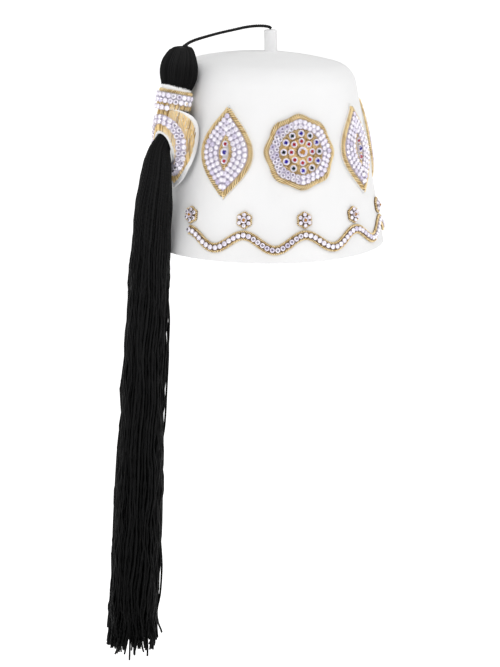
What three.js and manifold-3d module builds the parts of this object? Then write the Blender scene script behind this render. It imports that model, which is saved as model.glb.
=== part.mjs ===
import * as THREE from 'three';
import { mergeVertices } from 'three/addons/utils/BufferGeometryUtils.js';
import Module from 'manifold-3d';

// A white felt fez with stone-set ornaments on its wall and a long black tassel at its side.
// Millimetres, +Z up. The rim lies in the plane z = 0 round the origin, and the front faces -Y.
// An angle on the wall is counted in degrees from the front towards +X.

const wasm = await Module();
wasm.setup();

// Crown
const rimRadius = 95;
const topRadius = 68;
const crownHeight = 147;
const shoulderRadius = 19;
const domeRise = 6;
const feltThickness = 3;
const topLean = THREE.MathUtils.degToRad(2.3);
const crownSegments = 56;

// Felt stalk on the top, and the cord from it to the tassel
const stemRadius = 5.2;
const stemHeight = 17.2;
const stemAcross = 2.7;
const stemLean = THREE.MathUtils.degToRad(2);
const stemFoot = 150;
const stemEdge = 1;
const stemSides = 16;
const cordRadius = 1.25;
const cordSteps = 20;

// Clear space kept between pieces that touch
const gap = 0.35;

// Tassel
const tasselAngle = -73.3;
const coreSides = 16;
const lockCount = 12;
const coreShare = 0.86;
const lockShare = 0.27;
const lockEndShare = 0.15;
const lockDrops = [6, 14, 3, 18, 9, 15];

// Cuff round the tassel's neck
const cuffHeights = [109.2, 125.5];
const cuffRadius = 13.4;
const cuffLift = 15;
const cuffWall = 1.4;
const cuffStones = {
  cuff_rows: { heights: [113, 120.8], reach: 125, columns: 16 },
  cuff_low_row: { heights: [106.9, 110.5], reach: 42, columns: 8 },
};

// Felt ring over the tassel, arched outwards, with the strands drawn through its opening
const ringHeight = 79.6;
const ringHalfWidth = 31.3;
const ringHalfHeight = 29.2;
const ringFullness = { above: 0.7, below: 2.1 };
const ringTopHeavy = 0.2;
const ringThickness = 2.2;
const opening = { height: 78, halfWidth: 10, halfHeight: 10.9 };
const ringRows = { height: 81.2, halfWidths: [13.8, 21.3], halfHeights: [14.6, 22.5] };
const archHalfWidth = 17.6;
const archDeveloped = 33;
const archRise = 21.8;
const archLow = 2.5;
const archHeights = [53, 84];

// Ornaments: pads of gold embroidery with raised beds of small stones on them
const padThickness = 2.4;
const bedThickness = 2.2;
const bedMargin = 4.2;
const bedTipMargin = 6.3;
const medallionPlaces = { left: -42, right: 42, side: 84 };
const medallion = { height: 82, halfWidth: 22, halfHeight: 36, openWidth: 5.6, openHeight: 15 };
const medallionStones = [
  { up: 0, radius: 3.2, tint: 'blue' },
  { up: 6.6, radius: 2.5, tint: 'red' },
  { up: -6.6, radius: 2.5, tint: 'red' },
];
const rosette = { height: 84, radius: 29, lobes: 8, lobeDepth: 1.8, openRadius: 17.3, stone: 4 };
const rosetteRings = [
  { name: 'inner', count: 8, reach: 8.2, radius: 2.5, tints: ['red', 'red'] },
  { name: 'outer', count: 12, reach: 14, radius: 2.7, tints: ['blue', 'green'] },
];
const flower = { height: 32.5, radius: 6.6, lobes: 6, lobeDepth: 0.8, stone: 2.6 };
const swag = { from: -60, to: 90, count: 5, top: 21.2, drop: 11, width: 7, thickness: 2.6 };
// Shares of a cut stone's radius
const stoneTable = 0.58;
const stoneDepth = 0.75;

const colors = {
  felt: 0xf3f3f1,
  black: 0x0b0b0c,
  gold: 0xc9a24c,
  lilac: 0xd9d2ec,
  amber: 0xc8791a,
  red: 0xb01225,
  blue: 0x1c3fb0,
  green: 0x0c4a33,
};
const wallSlope = Math.atan2(rimRadius - topRadius, crownHeight);
const tasselTurn = THREE.MathUtils.degToRad(tasselAngle);
const outward = new THREE.Vector3(Math.sin(tasselTurn), -Math.cos(tasselTurn), 0);
const sideways = new THREE.Vector3(Math.cos(tasselTurn), Math.sin(tasselTurn), 0);
const fez = new THREE.Group();

// The top plane is a little lower at +X, so heights above the rim are sheared.
function leaned(x, y, z) {
  const share = THREE.MathUtils.clamp(z / crownHeight, 0, 1);
  return new THREE.Vector3(x, y, z - Math.tan(topLean) * x * share);
}

function wallRadius(height) {
  return rimRadius - Math.tan(wallSlope) * height;
}

function onWall(angle, height, lift) {
  const turn = THREE.MathUtils.degToRad(angle);
  const reach = wallRadius(height) + lift * Math.cos(wallSlope);
  const level = height + lift * Math.sin(wallSlope);
  return leaned(reach * Math.sin(turn), -reach * Math.cos(turn), level);
}

function add(name, geometry, color, roughness, metalness = 0) {
  const material = new THREE.MeshStandardMaterial({ color, roughness, metalness });
  const mesh = new THREE.Mesh(geometry, material);
  mesh.name = name;
  fez.add(mesh);
  return mesh;
}

// Closed bodies

function signedVolume(positions, corners) {
  const [a, b, c] = [new THREE.Vector3(), new THREE.Vector3(), new THREE.Vector3()];
  let sum = 0;
  for (let i = 0; i < corners.length; i += 3) {
    a.fromBufferAttribute(positions, corners[i]);
    b.fromBufferAttribute(positions, corners[i + 1]);
    c.fromBufferAttribute(positions, corners[i + 2]);
    sum += a.dot(b.cross(c)) / 6;
  }
  return sum;
}

// Shared vertices merged, triangles without area dropped, faces pointing out
function closed(geometry) {
  geometry.deleteAttribute('normal');
  geometry.deleteAttribute('uv');
  const merged = mergeVertices(geometry, 1e-3);
  const all = merged.index.array;
  const corners = [];
  for (let i = 0; i < all.length; i += 3) {
    if (all[i] !== all[i + 1] && all[i + 1] !== all[i + 2] && all[i + 2] !== all[i]) {
      corners.push(all[i], all[i + 1], all[i + 2]);
    }
  }
  if (signedVolume(merged.getAttribute('position'), corners) < 0) corners.reverse();
  merged.setIndex(corners);
  return merged;
}

function solidOf(geometry) {
  const body = closed(geometry);
  return new wasm.Manifold(new wasm.Mesh({
    numProp: 3,
    vertProperties: new Float32Array(body.getAttribute('position').array),
    triVerts: new Uint32Array(body.index.array),
  }));
}

function geometryOf(solid) {
  const mesh = solid.getMesh();
  const geometry = new THREE.BufferGeometry();
  geometry.setAttribute('position', new THREE.BufferAttribute(mesh.vertProperties, 3));
  geometry.setIndex([...mesh.triVerts]);
  return geometry;
}

// A body between two faces, each a grid of points: at(column, row, level) is a point, with
// column and row from 0 to 1, and level 0 on the under face and 1 on the upper one.
function plate(at, columns, rows) {
  const points = [];
  const corners = [];
  const index = (level, row, column) => (level * (rows + 1) + row) * (columns + 1) + column;
  const quad = (a, b, c, d) => corners.push(a, b, c, a, c, d);
  for (let level = 0; level < 2; level++) {
    for (let row = 0; row <= rows; row++) {
      for (let column = 0; column <= columns; column++) {
        points.push(...at(column / columns, row / rows, level));
      }
    }
  }
  for (let row = 0; row < rows; row++) {
    for (let column = 0; column < columns; column++) {
      const under = [[row, column], [row, column + 1], [row + 1, column + 1], [row + 1, column]];
      quad(...under.map(([r, c]) => index(0, r, c)));
      quad(...under.reverse().map(([r, c]) => index(1, r, c)));
    }
  }
  const wall = (a, b) => quad(index(0, ...a), index(1, ...a), index(1, ...b), index(0, ...b));
  for (let column = 0; column < columns; column++) {
    wall([0, column], [0, column + 1]);
    wall([rows, column + 1], [rows, column]);
  }
  const first = new THREE.Vector3(...at(0, 1, 0));
  const last = new THREE.Vector3(...at(1, 1, 0));
  const isOpen = first.distanceTo(last) > gap;
  for (let row = 0; isOpen && row < rows; row++) {
    wall([row + 1, 0], [row, 0]);
    wall([row, columns], [row + 1, columns]);
  }
  const geometry = new THREE.BufferGeometry();
  geometry.setAttribute('position', new THREE.Float32BufferAttribute(points, 3));
  geometry.setIndex(corners);
  return closed(geometry);
}

// A body through rings of points, closed at both ends
function loft(rings) {
  const sides = rings[0].length;
  const points = rings.flat().flatMap((point) => [...point]);
  const corners = [];
  for (let ring = 0; ring < rings.length - 1; ring++) {
    for (let side = 0; side < sides; side++) {
      const next = (side + 1) % sides;
      const [a, b] = [ring * sides + side, ring * sides + next];
      corners.push(a, b, b + sides, a, b + sides, a + sides);
    }
  }
  const lastRing = (rings.length - 1) * sides;
  for (let side = 1; side < sides - 1; side++) {
    corners.push(0, side + 1, side, lastRing, lastRing + side, lastRing + side + 1);
  }
  const geometry = new THREE.BufferGeometry();
  geometry.setAttribute('position', new THREE.Float32BufferAttribute(points, 3));
  geometry.setIndex(corners);
  return geometry;
}

// Crown and stem

// The felt's outer form, or its inner form when inset by the felt's thickness
function crownForm(inset, base) {
  const centreHeight = crownHeight - shoulderRadius;
  const centreReach = wallRadius(centreHeight) - shoulderRadius / Math.cos(wallSlope);
  const domeEdge = Math.PI / 2 - 2 * Math.atan(domeRise / centreReach);
  const domeCentre = centreHeight - centreReach * Math.tan(domeEdge);
  const domeRadius = centreReach / Math.cos(domeEdge) + shoulderRadius - inset;
  const shoulder = shoulderRadius - inset;
  const wallInset = inset / Math.cos(wallSlope);
  const outline = [new THREE.Vector2(0, base)];
  for (const height of [base, 0.3 * crownHeight, 0.6 * crownHeight]) {
    outline.push(new THREE.Vector2(wallRadius(height) - wallInset, height));
  }
  for (let step = 0; step <= 5; step++) {
    const turn = THREE.MathUtils.lerp(wallSlope, domeEdge, step / 5);
    const reach = centreReach + shoulder * Math.cos(turn);
    outline.push(new THREE.Vector2(reach, centreHeight + shoulder * Math.sin(turn)));
  }
  for (let step = 1; step <= 3; step++) {
    const turn = THREE.MathUtils.lerp(domeEdge, Math.PI / 2, step / 3);
    const reach = step < 3 ? domeRadius * Math.cos(turn) : 0;
    outline.push(new THREE.Vector2(reach, domeCentre + domeRadius * Math.sin(turn)));
  }
  const geometry = new THREE.LatheGeometry(outline, crownSegments).rotateX(Math.PI / 2);
  const places = geometry.getAttribute('position');
  for (let i = 0; i < places.count; i++) {
    places.setXYZ(i, ...leaned(places.getX(i), places.getY(i), places.getZ(i)));
  }
  return solidOf(geometry);
}

const outerForm = crownForm(0, 0);
const belowRim = -8;
add('crown', geometryOf(outerForm.subtract(crownForm(feltThickness, belowRim))), colors.felt, 0.9);

const stemTop = leaned(stemAcross, 0, crownHeight).z + domeRise + stemHeight;
const stemLength = stemTop - stemFoot;
const stemOutline = [
  new THREE.Vector2(0, 0),
  new THREE.Vector2(stemRadius, 0),
  new THREE.Vector2(stemRadius, stemLength - stemEdge),
  new THREE.Vector2(stemRadius - stemEdge, stemLength),
  new THREE.Vector2(0, stemLength),
];
const stemForm = new THREE.LatheGeometry(stemOutline, stemSides);
stemForm.rotateX(Math.PI / 2).rotateY(-stemLean).translate(stemAcross, 0, stemFoot);
const stem = solidOf(stemForm).subtract(outerForm.translate([0, 0, gap]));
add('stem', geometryOf(stem), colors.felt, 0.9);

// Tassel: one core through the stations below, with locks laid round its skirt.
// out is the distance from the crown's axis, across the shift towards +X, depth and width
// the half sizes of the bundle away from the wall and along it.
const stations = [
  { z: 161.3, out: 81.4, across: 0, depth: 4.2, width: 4.2 },
  { z: 160.7, out: 81.4, across: 0, depth: 7, width: 7 },
  { z: 158.4, out: 81.5, across: 0, depth: 9.5, width: 9.5 },
  { z: 154.2, out: 82.3, across: 0, depth: 12, width: 12 },
  { z: 149.4, out: 83.4, across: 0, depth: 14, width: 14.1 },
  { z: 144.2, out: 84.4, across: 0, depth: 14.8, width: 14.9 },
  { z: 138.8, out: 85, across: 0, depth: 14.4, width: 14.6 },
  { z: 134.9, out: 85.5, across: 0, depth: 13.6, width: 13.8 },
  { z: 132.1, out: 86.4, across: 0, depth: 11.2, width: 11.4 },
  { z: 121, out: 88.5, across: 0, depth: 11, width: 11.1 },
  { z: 117, out: 87.6, across: 0, depth: 8.6, width: 11 },
  { z: 112, out: 87, across: 0, depth: 8.2, width: 10.8 },
  { z: 107, out: 86.7, across: 0, depth: 7.4, width: 10.8 },
  { z: 102, out: 88, across: 0, depth: 6.6, width: 9.8 },
  { z: 97.5, out: 91.2, across: 0, depth: 6, width: 8.4 },
  { z: 93.2, out: 95.2, across: 0.2, depth: 4.8, width: 6.8 },
  { z: 88.6, out: 99.9, across: 0.5, depth: 5.2, width: 6.8 },
  { z: 82.5, out: 104, across: 1.2, depth: 7, width: 8.8 },
  { z: 74.5, out: 107, across: 3, depth: 9, width: 13.2 },
  { z: 62, out: 108.4, across: 2.6, depth: 10.8, width: 15 },
  { z: 42, out: 109.6, across: 1, depth: 13.8, width: 15.4 },
  { z: 12, out: 111, across: -1.3, depth: 15.4, width: 16 },
  { z: -37, out: 113.1, across: -2.9, depth: 16.6, width: 17.4 },
  { z: -119, out: 117.6, across: -5.9, depth: 18, width: 19 },
  { z: -204, out: 121.6, across: -8.8, depth: 19.4, width: 20.4 },
  { z: -292, out: 125.4, across: -11.4, depth: 20.2, width: 21.2 },
  { z: -322, out: 126.6, across: -12.3, depth: 19, width: 20 },
];
const skirtStart = 18;

function stationCentre({ z, out, across }) {
  return new THREE.Vector3(0, 0, z).addScaledVector(outward, out).addScaledVector(sideways, across);
}

const centres = stations.map(stationCentre);

// Frame of a station: along the bundle, away from the wall, and along the wall
function stationAxes(index) {
  const before = centres[Math.max(index - 1, 0)];
  const after = centres[Math.min(index + 1, centres.length - 1)];
  const along = after.clone().sub(before).normalize();
  const away = new THREE.Vector3().crossVectors(along, sideways).normalize();
  if (away.dot(outward) < 0) away.negate();
  return { away, wide: new THREE.Vector3().crossVectors(away, along).normalize() };
}

// A point of station index, at turn round the bundle and at share of its half sizes
function bundlePoint(index, turn, share) {
  const { depth, width } = stations[index];
  const { away, wide } = stationAxes(index);
  const centre = centres[index].clone();
  centre.addScaledVector(away, depth * share * Math.cos(turn));
  return centre.addScaledVector(wide, width * share * Math.sin(turn));
}

function ringRound(count, pointAt) {
  return Array.from({ length: count }, (unused, side) => pointAt(2 * Math.PI * side / count));
}

function tasselCore() {
  const rings = stations.map((station, index) => {
    const share = index < skirtStart ? 1 : coreShare;
    return ringRound(coreSides, (turn) => bundlePoint(index, turn, share));
  });
  return solidOf(loft(rings));
}

// One lock of strands: it grows out of the core and ends a little above or below its neighbours.
function tasselLock(number) {
  const turn = 2 * Math.PI * number / lockCount;
  const last = stations.length - 1;
  const rings = [];
  for (let index = skirtStart - 1; index <= last + 1; index++) {
    const at = Math.min(index, last);
    const isEnd = index > last;
    const growth = THREE.MathUtils.clamp((index - skirtStart + 2) / 4, 0.3, 1);
    const radius = lockShare * (isEnd ? lockEndShare : growth);
    const centre = bundlePoint(at, turn, 1 - lockShare);
    if (isEnd) centre.z -= lockDrops[number % lockDrops.length];
    const { away, wide } = stationAxes(at);
    const { depth, width } = stations[at];
    rings.push(ringRound(6, (spin) => centre.clone()
      .addScaledVector(away, radius * depth * Math.cos(spin))
      .addScaledVector(wide, radius * width * Math.sin(spin))));
  }
  return solidOf(loft(rings));
}

const locks = Array.from({ length: lockCount }, (unused, number) => tasselLock(number));
const tassel = locks.reduce((whole, lock) => whole.add(lock), tasselCore());
add('tassel', geometryOf(tassel), colors.black, 0.6);

// Cord: out of the stem's top, over in one low arch and down into the tassel's head
const cordRoute = [
  [2.2, -0.5, 171.3], [1.4, -0.8, 172.1], [-0.6, -1.4, 172.8], [-4.4, -2.5, 173.5], [-10.5, -4.3, 173.9],
  [-16.5, -6, 173.8], [-22.8, -7.8, 173.3], [-29.6, -9.8, 172.4], [-38.4, -12.3, 171.2],
  [-47, -14.7, 169.9], [-55.4, -17.1, 168.4], [-62, -18.9, 167.1], [-66.8, -20.3, 166],
  [-70.4, -21.4, 164.9], [-73, -22.2, 163.8], [-74.9, -22.8, 162.7],
];

function cordTube(route, radius, sides, steps) {
  const section = new THREE.Shape();
  section.setFromPoints(Array.from({ length: sides }, (unused, side) => {
    const turn = 2 * Math.PI * side / sides;
    return new THREE.Vector2(radius * Math.cos(turn), radius * Math.sin(turn));
  }));
  const extrudePath = new THREE.CatmullRomCurve3(route);
  return closed(new THREE.ExtrudeGeometry(section, { steps, extrudePath, bevelEnabled: false }));
}

const cordPoints = cordRoute.map((point) => new THREE.Vector3(...point));
add('tassel_cord', cordTube(cordPoints, cordRadius, 8, cordSteps), colors.black, 0.7);

// Cuff: a felt sleeve round the neck, square to the wall's slope, with two raised stone bands
function cuffPoint(turn, height, radius) {
  const point = onWall(tasselAngle, height, cuffLift + radius * Math.cos(turn));
  return point.addScaledVector(sideways, radius * Math.sin(turn));
}

function cuffBand(heights, radii, reach, columns) {
  return plate((column, row, level) => {
    const turn = THREE.MathUtils.lerp(-reach, reach, column);
    const height = THREE.MathUtils.lerp(...heights, row);
    return cuffPoint(turn, height, radii[level]);
  }, columns, 1);
}

const cuff = cuffBand(cuffHeights, [cuffRadius - cuffWall, cuffRadius], Math.PI, 24);
add('tassel_cuff', cuff, colors.gold, 0.6, 0.4);
for (const [name, { heights, reach, columns }] of Object.entries(cuffStones)) {
  const radii = [cuffRadius + gap, cuffRadius + gap + bedThickness];
  add(name, cuffBand(heights, radii, THREE.MathUtils.degToRad(reach), columns), colors.lilac, 0.2);
}

// Ring: it is laid out flat as an ellipse round an opening, and arched over the tassel.
// It rests on the wall at its sides and sinks back to the wall towards its foot.
function archPoint(across, height, level) {
  const turn = across / archDeveloped * Math.PI / 2;
  const rise = THREE.MathUtils.smoothstep(height, ...archHeights) * (archRise - archLow) + archLow;
  const normal = new THREE.Vector2(Math.sin(turn) / archHalfWidth, Math.cos(turn) / rise).normalize();
  const along = archHalfWidth * Math.sin(turn) + level * normal.x;
  const lift = gap + ringThickness + rise * Math.cos(turn) + (level - ringThickness) * normal.y;
  const angle = THREE.MathUtils.radToDeg(along / wallRadius(ringHeight));
  return onWall(tasselAngle + angle, height, lift);
}

function ringBand(inner, outer, levels, columns, rows) {
  return plate((column, row, level) => {
    const turn = 2 * Math.PI * column;
    const from = inner(turn);
    const to = outer(turn);
    const place = from.lerp(to, row);
    return archPoint(place.x, place.y, levels[level]);
  }, columns, rows);
}

function oval(height, halfWidth, halfHeight) {
  return (turn) => new THREE.Vector2(halfWidth * Math.sin(turn), height + halfHeight * Math.cos(turn));
}

// The ring's outer edge is fuller than an ellipse above, and narrows below.
function ringEdge(turn) {
  const fullness = Math.cos(turn) > 0 ? ringFullness.above : ringFullness.below;
  const side = Math.sign(Math.sin(turn)) * Math.abs(Math.sin(turn)) ** fullness;
  const halfWidth = ringHalfWidth * (1 + ringTopHeavy * Math.cos(turn));
  return new THREE.Vector2(halfWidth * side, ringHeight + ringHalfHeight * Math.cos(turn));
}

const openingEdge = oval(opening.height, opening.halfWidth, opening.halfHeight);
add('tassel_ring', ringBand(openingEdge, ringEdge, [0, ringThickness], 32, 4), colors.gold, 0.6, 0.4);
const [rowsInner, rowsOuter] = [0, 1].map((side) => (
  oval(ringRows.height, ringRows.halfWidths[side], ringRows.halfHeights[side])));
const rowsBase = ringThickness + 2 * gap;
const rowsBand = ringBand(rowsInner, rowsOuter, [rowsBase, rowsBase + bedThickness], 32, 2);
add('ring_rows', rowsBand, colors.lilac, 0.2);

// Ornaments on the wall

function lens(halfWidth, halfHeight) {
  return (share) => {
    const height = halfHeight * (Math.abs(4 * share - 2) - 1);
    const side = share < 0.5 ? 1 : -1;
    const width = Math.max(Math.cos(Math.PI / 2 * height / halfHeight), 0);
    return new THREE.Vector2(side * halfWidth * width ** 1.1, height);
  };
}

function lobed(radius, lobes, depth) {
  return (share) => {
    const turn = 2 * Math.PI * share;
    const reach = radius - depth * (1 - Math.cos(lobes * turn)) / 2;
    return new THREE.Vector2(reach * Math.sin(turn), reach * Math.cos(turn));
  };
}

function middle() {
  return new THREE.Vector2(0, 0);
}

// A plate on the wall between two outlines, from lift low to lift high
function wallPlate(angle, height, inner, outer, lifts, columns, rows) {
  const perMillimetre = THREE.MathUtils.radToDeg(1 / wallRadius(height));
  return plate((column, row, level) => {
    const place = inner(column % 1).lerp(outer(column % 1), row);
    return onWall(angle + place.x * perMillimetre, height + place.y, lifts[level]);
  }, columns, rows);
}

const padLifts = [gap, gap + padThickness];
const bedLifts = [padLifts[1] + gap, padLifts[1] + gap + bedThickness];

// A cut stone with a table and eight facets, its table facing away from the wall. It is
// placed by its distances across and up from the point of the wall at angle and height.
function cutStone(name, place, radius, tint) {
  const { angle, height, across = 0, up = 0 } = place;
  const depth = stoneDepth * radius;
  const cut = new THREE.CylinderGeometry(stoneTable * radius, radius, depth, 8);
  const turned = angle + THREE.MathUtils.radToDeg(across / wallRadius(height));
  const lift = bedLifts[0] + depth / 2;
  const mesh = add(name, closed(cut), colors[tint], 0.08);
  mesh.position.copy(onWall(turned, height + up, lift));
  const away = onWall(turned, height + up, lift + 1).sub(mesh.position).normalize();
  mesh.quaternion.setFromUnitVectors(new THREE.Vector3(0, 1, 0), away);
}

for (const [name, angle] of Object.entries(medallionPlaces)) {
  const { height, halfWidth, halfHeight } = medallion;
  const padEdge = lens(halfWidth, halfHeight);
  const bedOuter = lens(halfWidth - bedMargin, halfHeight - bedTipMargin);
  const bedInner = lens(medallion.openWidth, medallion.openHeight);
  const pad = wallPlate(angle, height, middle, padEdge, padLifts, 28, 3);
  const bed = wallPlate(angle, height, bedInner, bedOuter, bedLifts, 28, 2);
  add(`medallion_pad_${name}`, pad, colors.gold, 0.5, 0.5);
  add(`medallion_bed_${name}`, bed, colors.lilac, 0.2);
  medallionStones.forEach(({ up, radius, tint }, index) => {
    cutStone(`medallion_stone_${name}_${index + 1}`, { angle, height, up }, radius, tint);
  });
}

const rosettePlace = { angle: 0, height: rosette.height };
const rosetteEdge = lobed(rosette.radius, rosette.lobes, rosette.lobeDepth);
const rosetteBedEdge = lobed(rosette.radius - bedMargin, rosette.lobes, rosette.lobeDepth);
const rosetteOpening = lobed(rosette.openRadius, 1, 0);
const rosettePad = wallPlate(0, rosette.height, middle, rosetteEdge, padLifts, 40, 3);
const rosetteBed = wallPlate(0, rosette.height, rosetteOpening, rosetteBedEdge, bedLifts, 40, 2);
add('rosette_pad', rosettePad, colors.gold, 0.5, 0.5);
add('rosette_bed', rosetteBed, colors.lilac, 0.2);
cutStone('rosette_stone_centre', rosettePlace, rosette.stone, 'amber');
for (const { name, count, reach, radius, tints } of rosetteRings) {
  for (let number = 0; number < count; number++) {
    const turn = 2 * Math.PI * number / count;
    const place = { ...rosettePlace, across: reach * Math.sin(turn), up: reach * Math.cos(turn) };
    cutStone(`rosette_stone_${name}_${number + 1}`, place, radius, tints[number % 2]);
  }
}

// Garland: a band that rises to each flower and hangs in a swag between two of them
const swagAngle = (swag.to - swag.from) / swag.count;
const swagSteps = 10;

// The middle of the garland at share of its length: x along the wall and y above the rim
function swagMiddle(share) {
  const turn = 2 * Math.PI * share * swag.count;
  const height = swag.top - swag.drop * (1 - Math.cos(turn)) / 2;
  const angle = THREE.MathUtils.lerp(swag.from, swag.to, share);
  return new THREE.Vector2(THREE.MathUtils.degToRad(angle) * rimRadius, height);
}

const garland = plate((column, row, level) => {
  const middlePoint = swagMiddle(column);
  const along = swagMiddle(column + 1e-3).sub(middlePoint).normalize();
  const offset = (row - 0.5) * swag.width;
  const angle = THREE.MathUtils.radToDeg((middlePoint.x - along.y * offset) / rimRadius);
  return onWall(angle, middlePoint.y + along.x * offset, gap + level * swag.thickness);
}, swagSteps * swag.count, 1);
add('garland', garland, colors.lilac, 0.2);

const flowerEdge = lobed(flower.radius, flower.lobes, flower.lobeDepth);
for (let number = 0; number <= swag.count; number++) {
  const angle = swag.from + swagAngle * number;
  const petals = wallPlate(angle, flower.height, middle, flowerEdge, padLifts, 12, 1);
  add(`flower_${number + 1}`, petals, colors.gold, 0.5, 0.5);
  cutStone(`flower_stone_${number + 1}`, { angle, height: flower.height }, flower.stone, 'amber');
}

export default fez;
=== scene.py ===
import math
import random

import bmesh
import bpy
from mathutils import Matrix, Vector, noise


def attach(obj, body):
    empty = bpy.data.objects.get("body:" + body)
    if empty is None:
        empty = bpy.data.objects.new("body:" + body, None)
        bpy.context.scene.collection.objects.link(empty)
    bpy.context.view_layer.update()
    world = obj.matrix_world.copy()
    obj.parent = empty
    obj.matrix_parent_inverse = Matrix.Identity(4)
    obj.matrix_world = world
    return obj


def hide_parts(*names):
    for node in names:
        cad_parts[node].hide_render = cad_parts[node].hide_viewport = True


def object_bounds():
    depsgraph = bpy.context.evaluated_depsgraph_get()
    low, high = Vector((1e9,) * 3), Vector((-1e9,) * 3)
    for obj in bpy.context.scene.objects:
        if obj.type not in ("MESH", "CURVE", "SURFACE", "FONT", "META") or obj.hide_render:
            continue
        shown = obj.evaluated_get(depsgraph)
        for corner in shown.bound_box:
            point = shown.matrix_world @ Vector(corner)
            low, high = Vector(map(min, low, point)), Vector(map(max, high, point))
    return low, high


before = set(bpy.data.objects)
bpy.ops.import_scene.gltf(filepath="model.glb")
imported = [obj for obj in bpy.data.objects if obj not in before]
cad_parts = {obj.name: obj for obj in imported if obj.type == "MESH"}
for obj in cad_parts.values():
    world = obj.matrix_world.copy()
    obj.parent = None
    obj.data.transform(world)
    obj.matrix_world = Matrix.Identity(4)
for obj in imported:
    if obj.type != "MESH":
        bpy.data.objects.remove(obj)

# A white felt fez with stone-set gold ornaments and a long black tassel at its side.
# Shapes are worked out in millimetres and scaled to metres when a piece is finished.
# An angle on the wall counts in degrees from the front, which faces -Y, towards +X.

cadLow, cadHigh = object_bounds()
mm = 0.001
weld = 0.002  # points closer than this are merged
dice = random.Random(7)

# Camera and studio

studio = {
    "cameraAt": (-0.4824, -1.4384, 0.3178),  # metres
    "cameraDown": 14.70,  # degrees below level
    "cameraTurn": -18.0,
    "lens": 101.9,  # for 36 mm along the picture's long side
    "floorBelow": 0.15,  # metres under the tassel's end
    "floorSize": 26.0,
    "floorTone": (0.95, 0.95, 0.95),
    "floorGlow": 0.55,
    "opening": (-0.17, -0.98, 0.06),  # the way to the dark opening that the stones mirror
    "openingEdge": (0.86, 0.94),  # cosines of the angle from it where it fades in
    "openingTone": (0.17, 0.15, 0.22),
    "paleFrom": (0.15, 0.3),  # heights between which the white room turns pale
    "paleTone": (0.62, 0.62, 0.62),
    "lights": [
        {"name": "left", "place": (-0.81, -1.25, 1.39), "power": 13.0},
        {"name": "right", "place": (1.33, -0.77, 1.34), "power": 8.1},
    ],
    "lightSize": 1.1,
    "lightAim": (0, 0, 0.05),
}


def addCamera():
    data = bpy.data.cameras.new("camera")
    data.lens = studio["lens"]
    camera = bpy.data.objects.new("camera", data)
    camera.location = studio["cameraAt"]
    camera.rotation_euler = (math.radians(90 - studio["cameraDown"]), 0, math.radians(studio["cameraTurn"]))
    bpy.context.scene.collection.objects.link(camera)
    bpy.context.scene.camera = camera


addCamera()

# The hat's own form

hat = {
    "rim": 95.0,
    "top": 68.0,
    "height": 147.0,
    "shoulder": 19.0,
    "dome": 6.0,
    "felt": 3.0,
    "lean": math.radians(2.3),
    "roundSteps": 160,
    "edge": 0.9,  # rounding of the cut edge at the rim
    "wobble": 0.22,  # how far the blocked felt strays from a true cone
    "wobbleSize": 38,
}
wallSlope = math.atan2(hat["rim"] - hat["top"], hat["height"])


def clamped(value):
    return min(max(value, 0), 1)


def leaned(x, y, z):
    share = clamped(z / hat["height"])
    return Vector((x, y, z - math.tan(hat["lean"]) * x * share))


def wallRadius(height):
    return hat["rim"] - math.tan(wallSlope) * height


def onWall(angle, height, lift):
    turn = math.radians(angle)
    reach = wallRadius(height) + lift * math.cos(wallSlope)
    return leaned(reach * math.sin(turn), -reach * math.cos(turn), height + lift * math.sin(wallSlope))


def wallWrap(angle, height):
    # bends flat work onto the wall: x along it, y up it and z away from it
    perMillimetre = math.degrees(1 / wallRadius(height))
    return lambda x, y, z: onWall(angle + x * perMillimetre, height + y, z)


# Materials


def newFinish(name, **values):
    finish = bpy.data.materials.new(name)
    finish.use_nodes = True
    tree = finish.node_tree
    shader = tree.nodes["Principled BSDF"]
    for socket, value in values.items():
        shader.inputs[socket.replace("_", " ")].default_value = value
    return finish, tree, shader


def addNode(tree, kind, settings=None, **values):
    node = tree.nodes.new(kind)
    for key, value in (settings or {}).items():
        setattr(node, key, value)
    for socket, value in values.items():
        node.inputs[socket.replace("_", " ")].default_value = value
    return node


def grain(tree, scale, detail=2.0, stretch=(1, 1, 1), roughness=0.5):
    # noise on Object coordinates; its output is the grain's strength
    place = addNode(tree, "ShaderNodeTexCoord")
    mapping = addNode(tree, "ShaderNodeMapping")
    mapping.inputs["Scale"].default_value = stretch
    texture = addNode(tree, "ShaderNodeTexNoise", Scale=scale, Detail=detail, Roughness=roughness)
    tree.links.new(place.outputs["Object"], mapping.inputs["Vector"])
    tree.links.new(mapping.outputs["Vector"], texture.inputs["Vector"])
    return texture.outputs["Fac"]


def ramp(tree, source, stops):
    node = addNode(tree, "ShaderNodeValToRGB")
    first, last = node.color_ramp.elements[0], node.color_ramp.elements[1]
    for element, (place, color) in zip((first, last), (stops[0], stops[-1])):
        element.position = place
        element.color = (*color, 1)
    for place, color in stops[1:-1]:
        node.color_ramp.elements.new(place).color = (*color, 1)
    tree.links.new(source, node.inputs["Fac"])
    return node.outputs["Color"]


def bump(tree, shader, source, distance, strength=1.0, before=None):
    node = addNode(tree, "ShaderNodeBump", Strength=strength, Distance=distance)
    tree.links.new(source, node.inputs["Height"])
    if before:
        tree.links.new(before, node.inputs["Normal"])
    tree.links.new(node.outputs["Normal"], shader.inputs["Normal"])
    return node.outputs["Normal"]


def islandShade(tree, stops):
    # every thread or stone takes its own shade
    return ramp(tree, addNode(tree, "ShaderNodeNewGeometry").outputs["Random Per Island"], stops)


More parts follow.
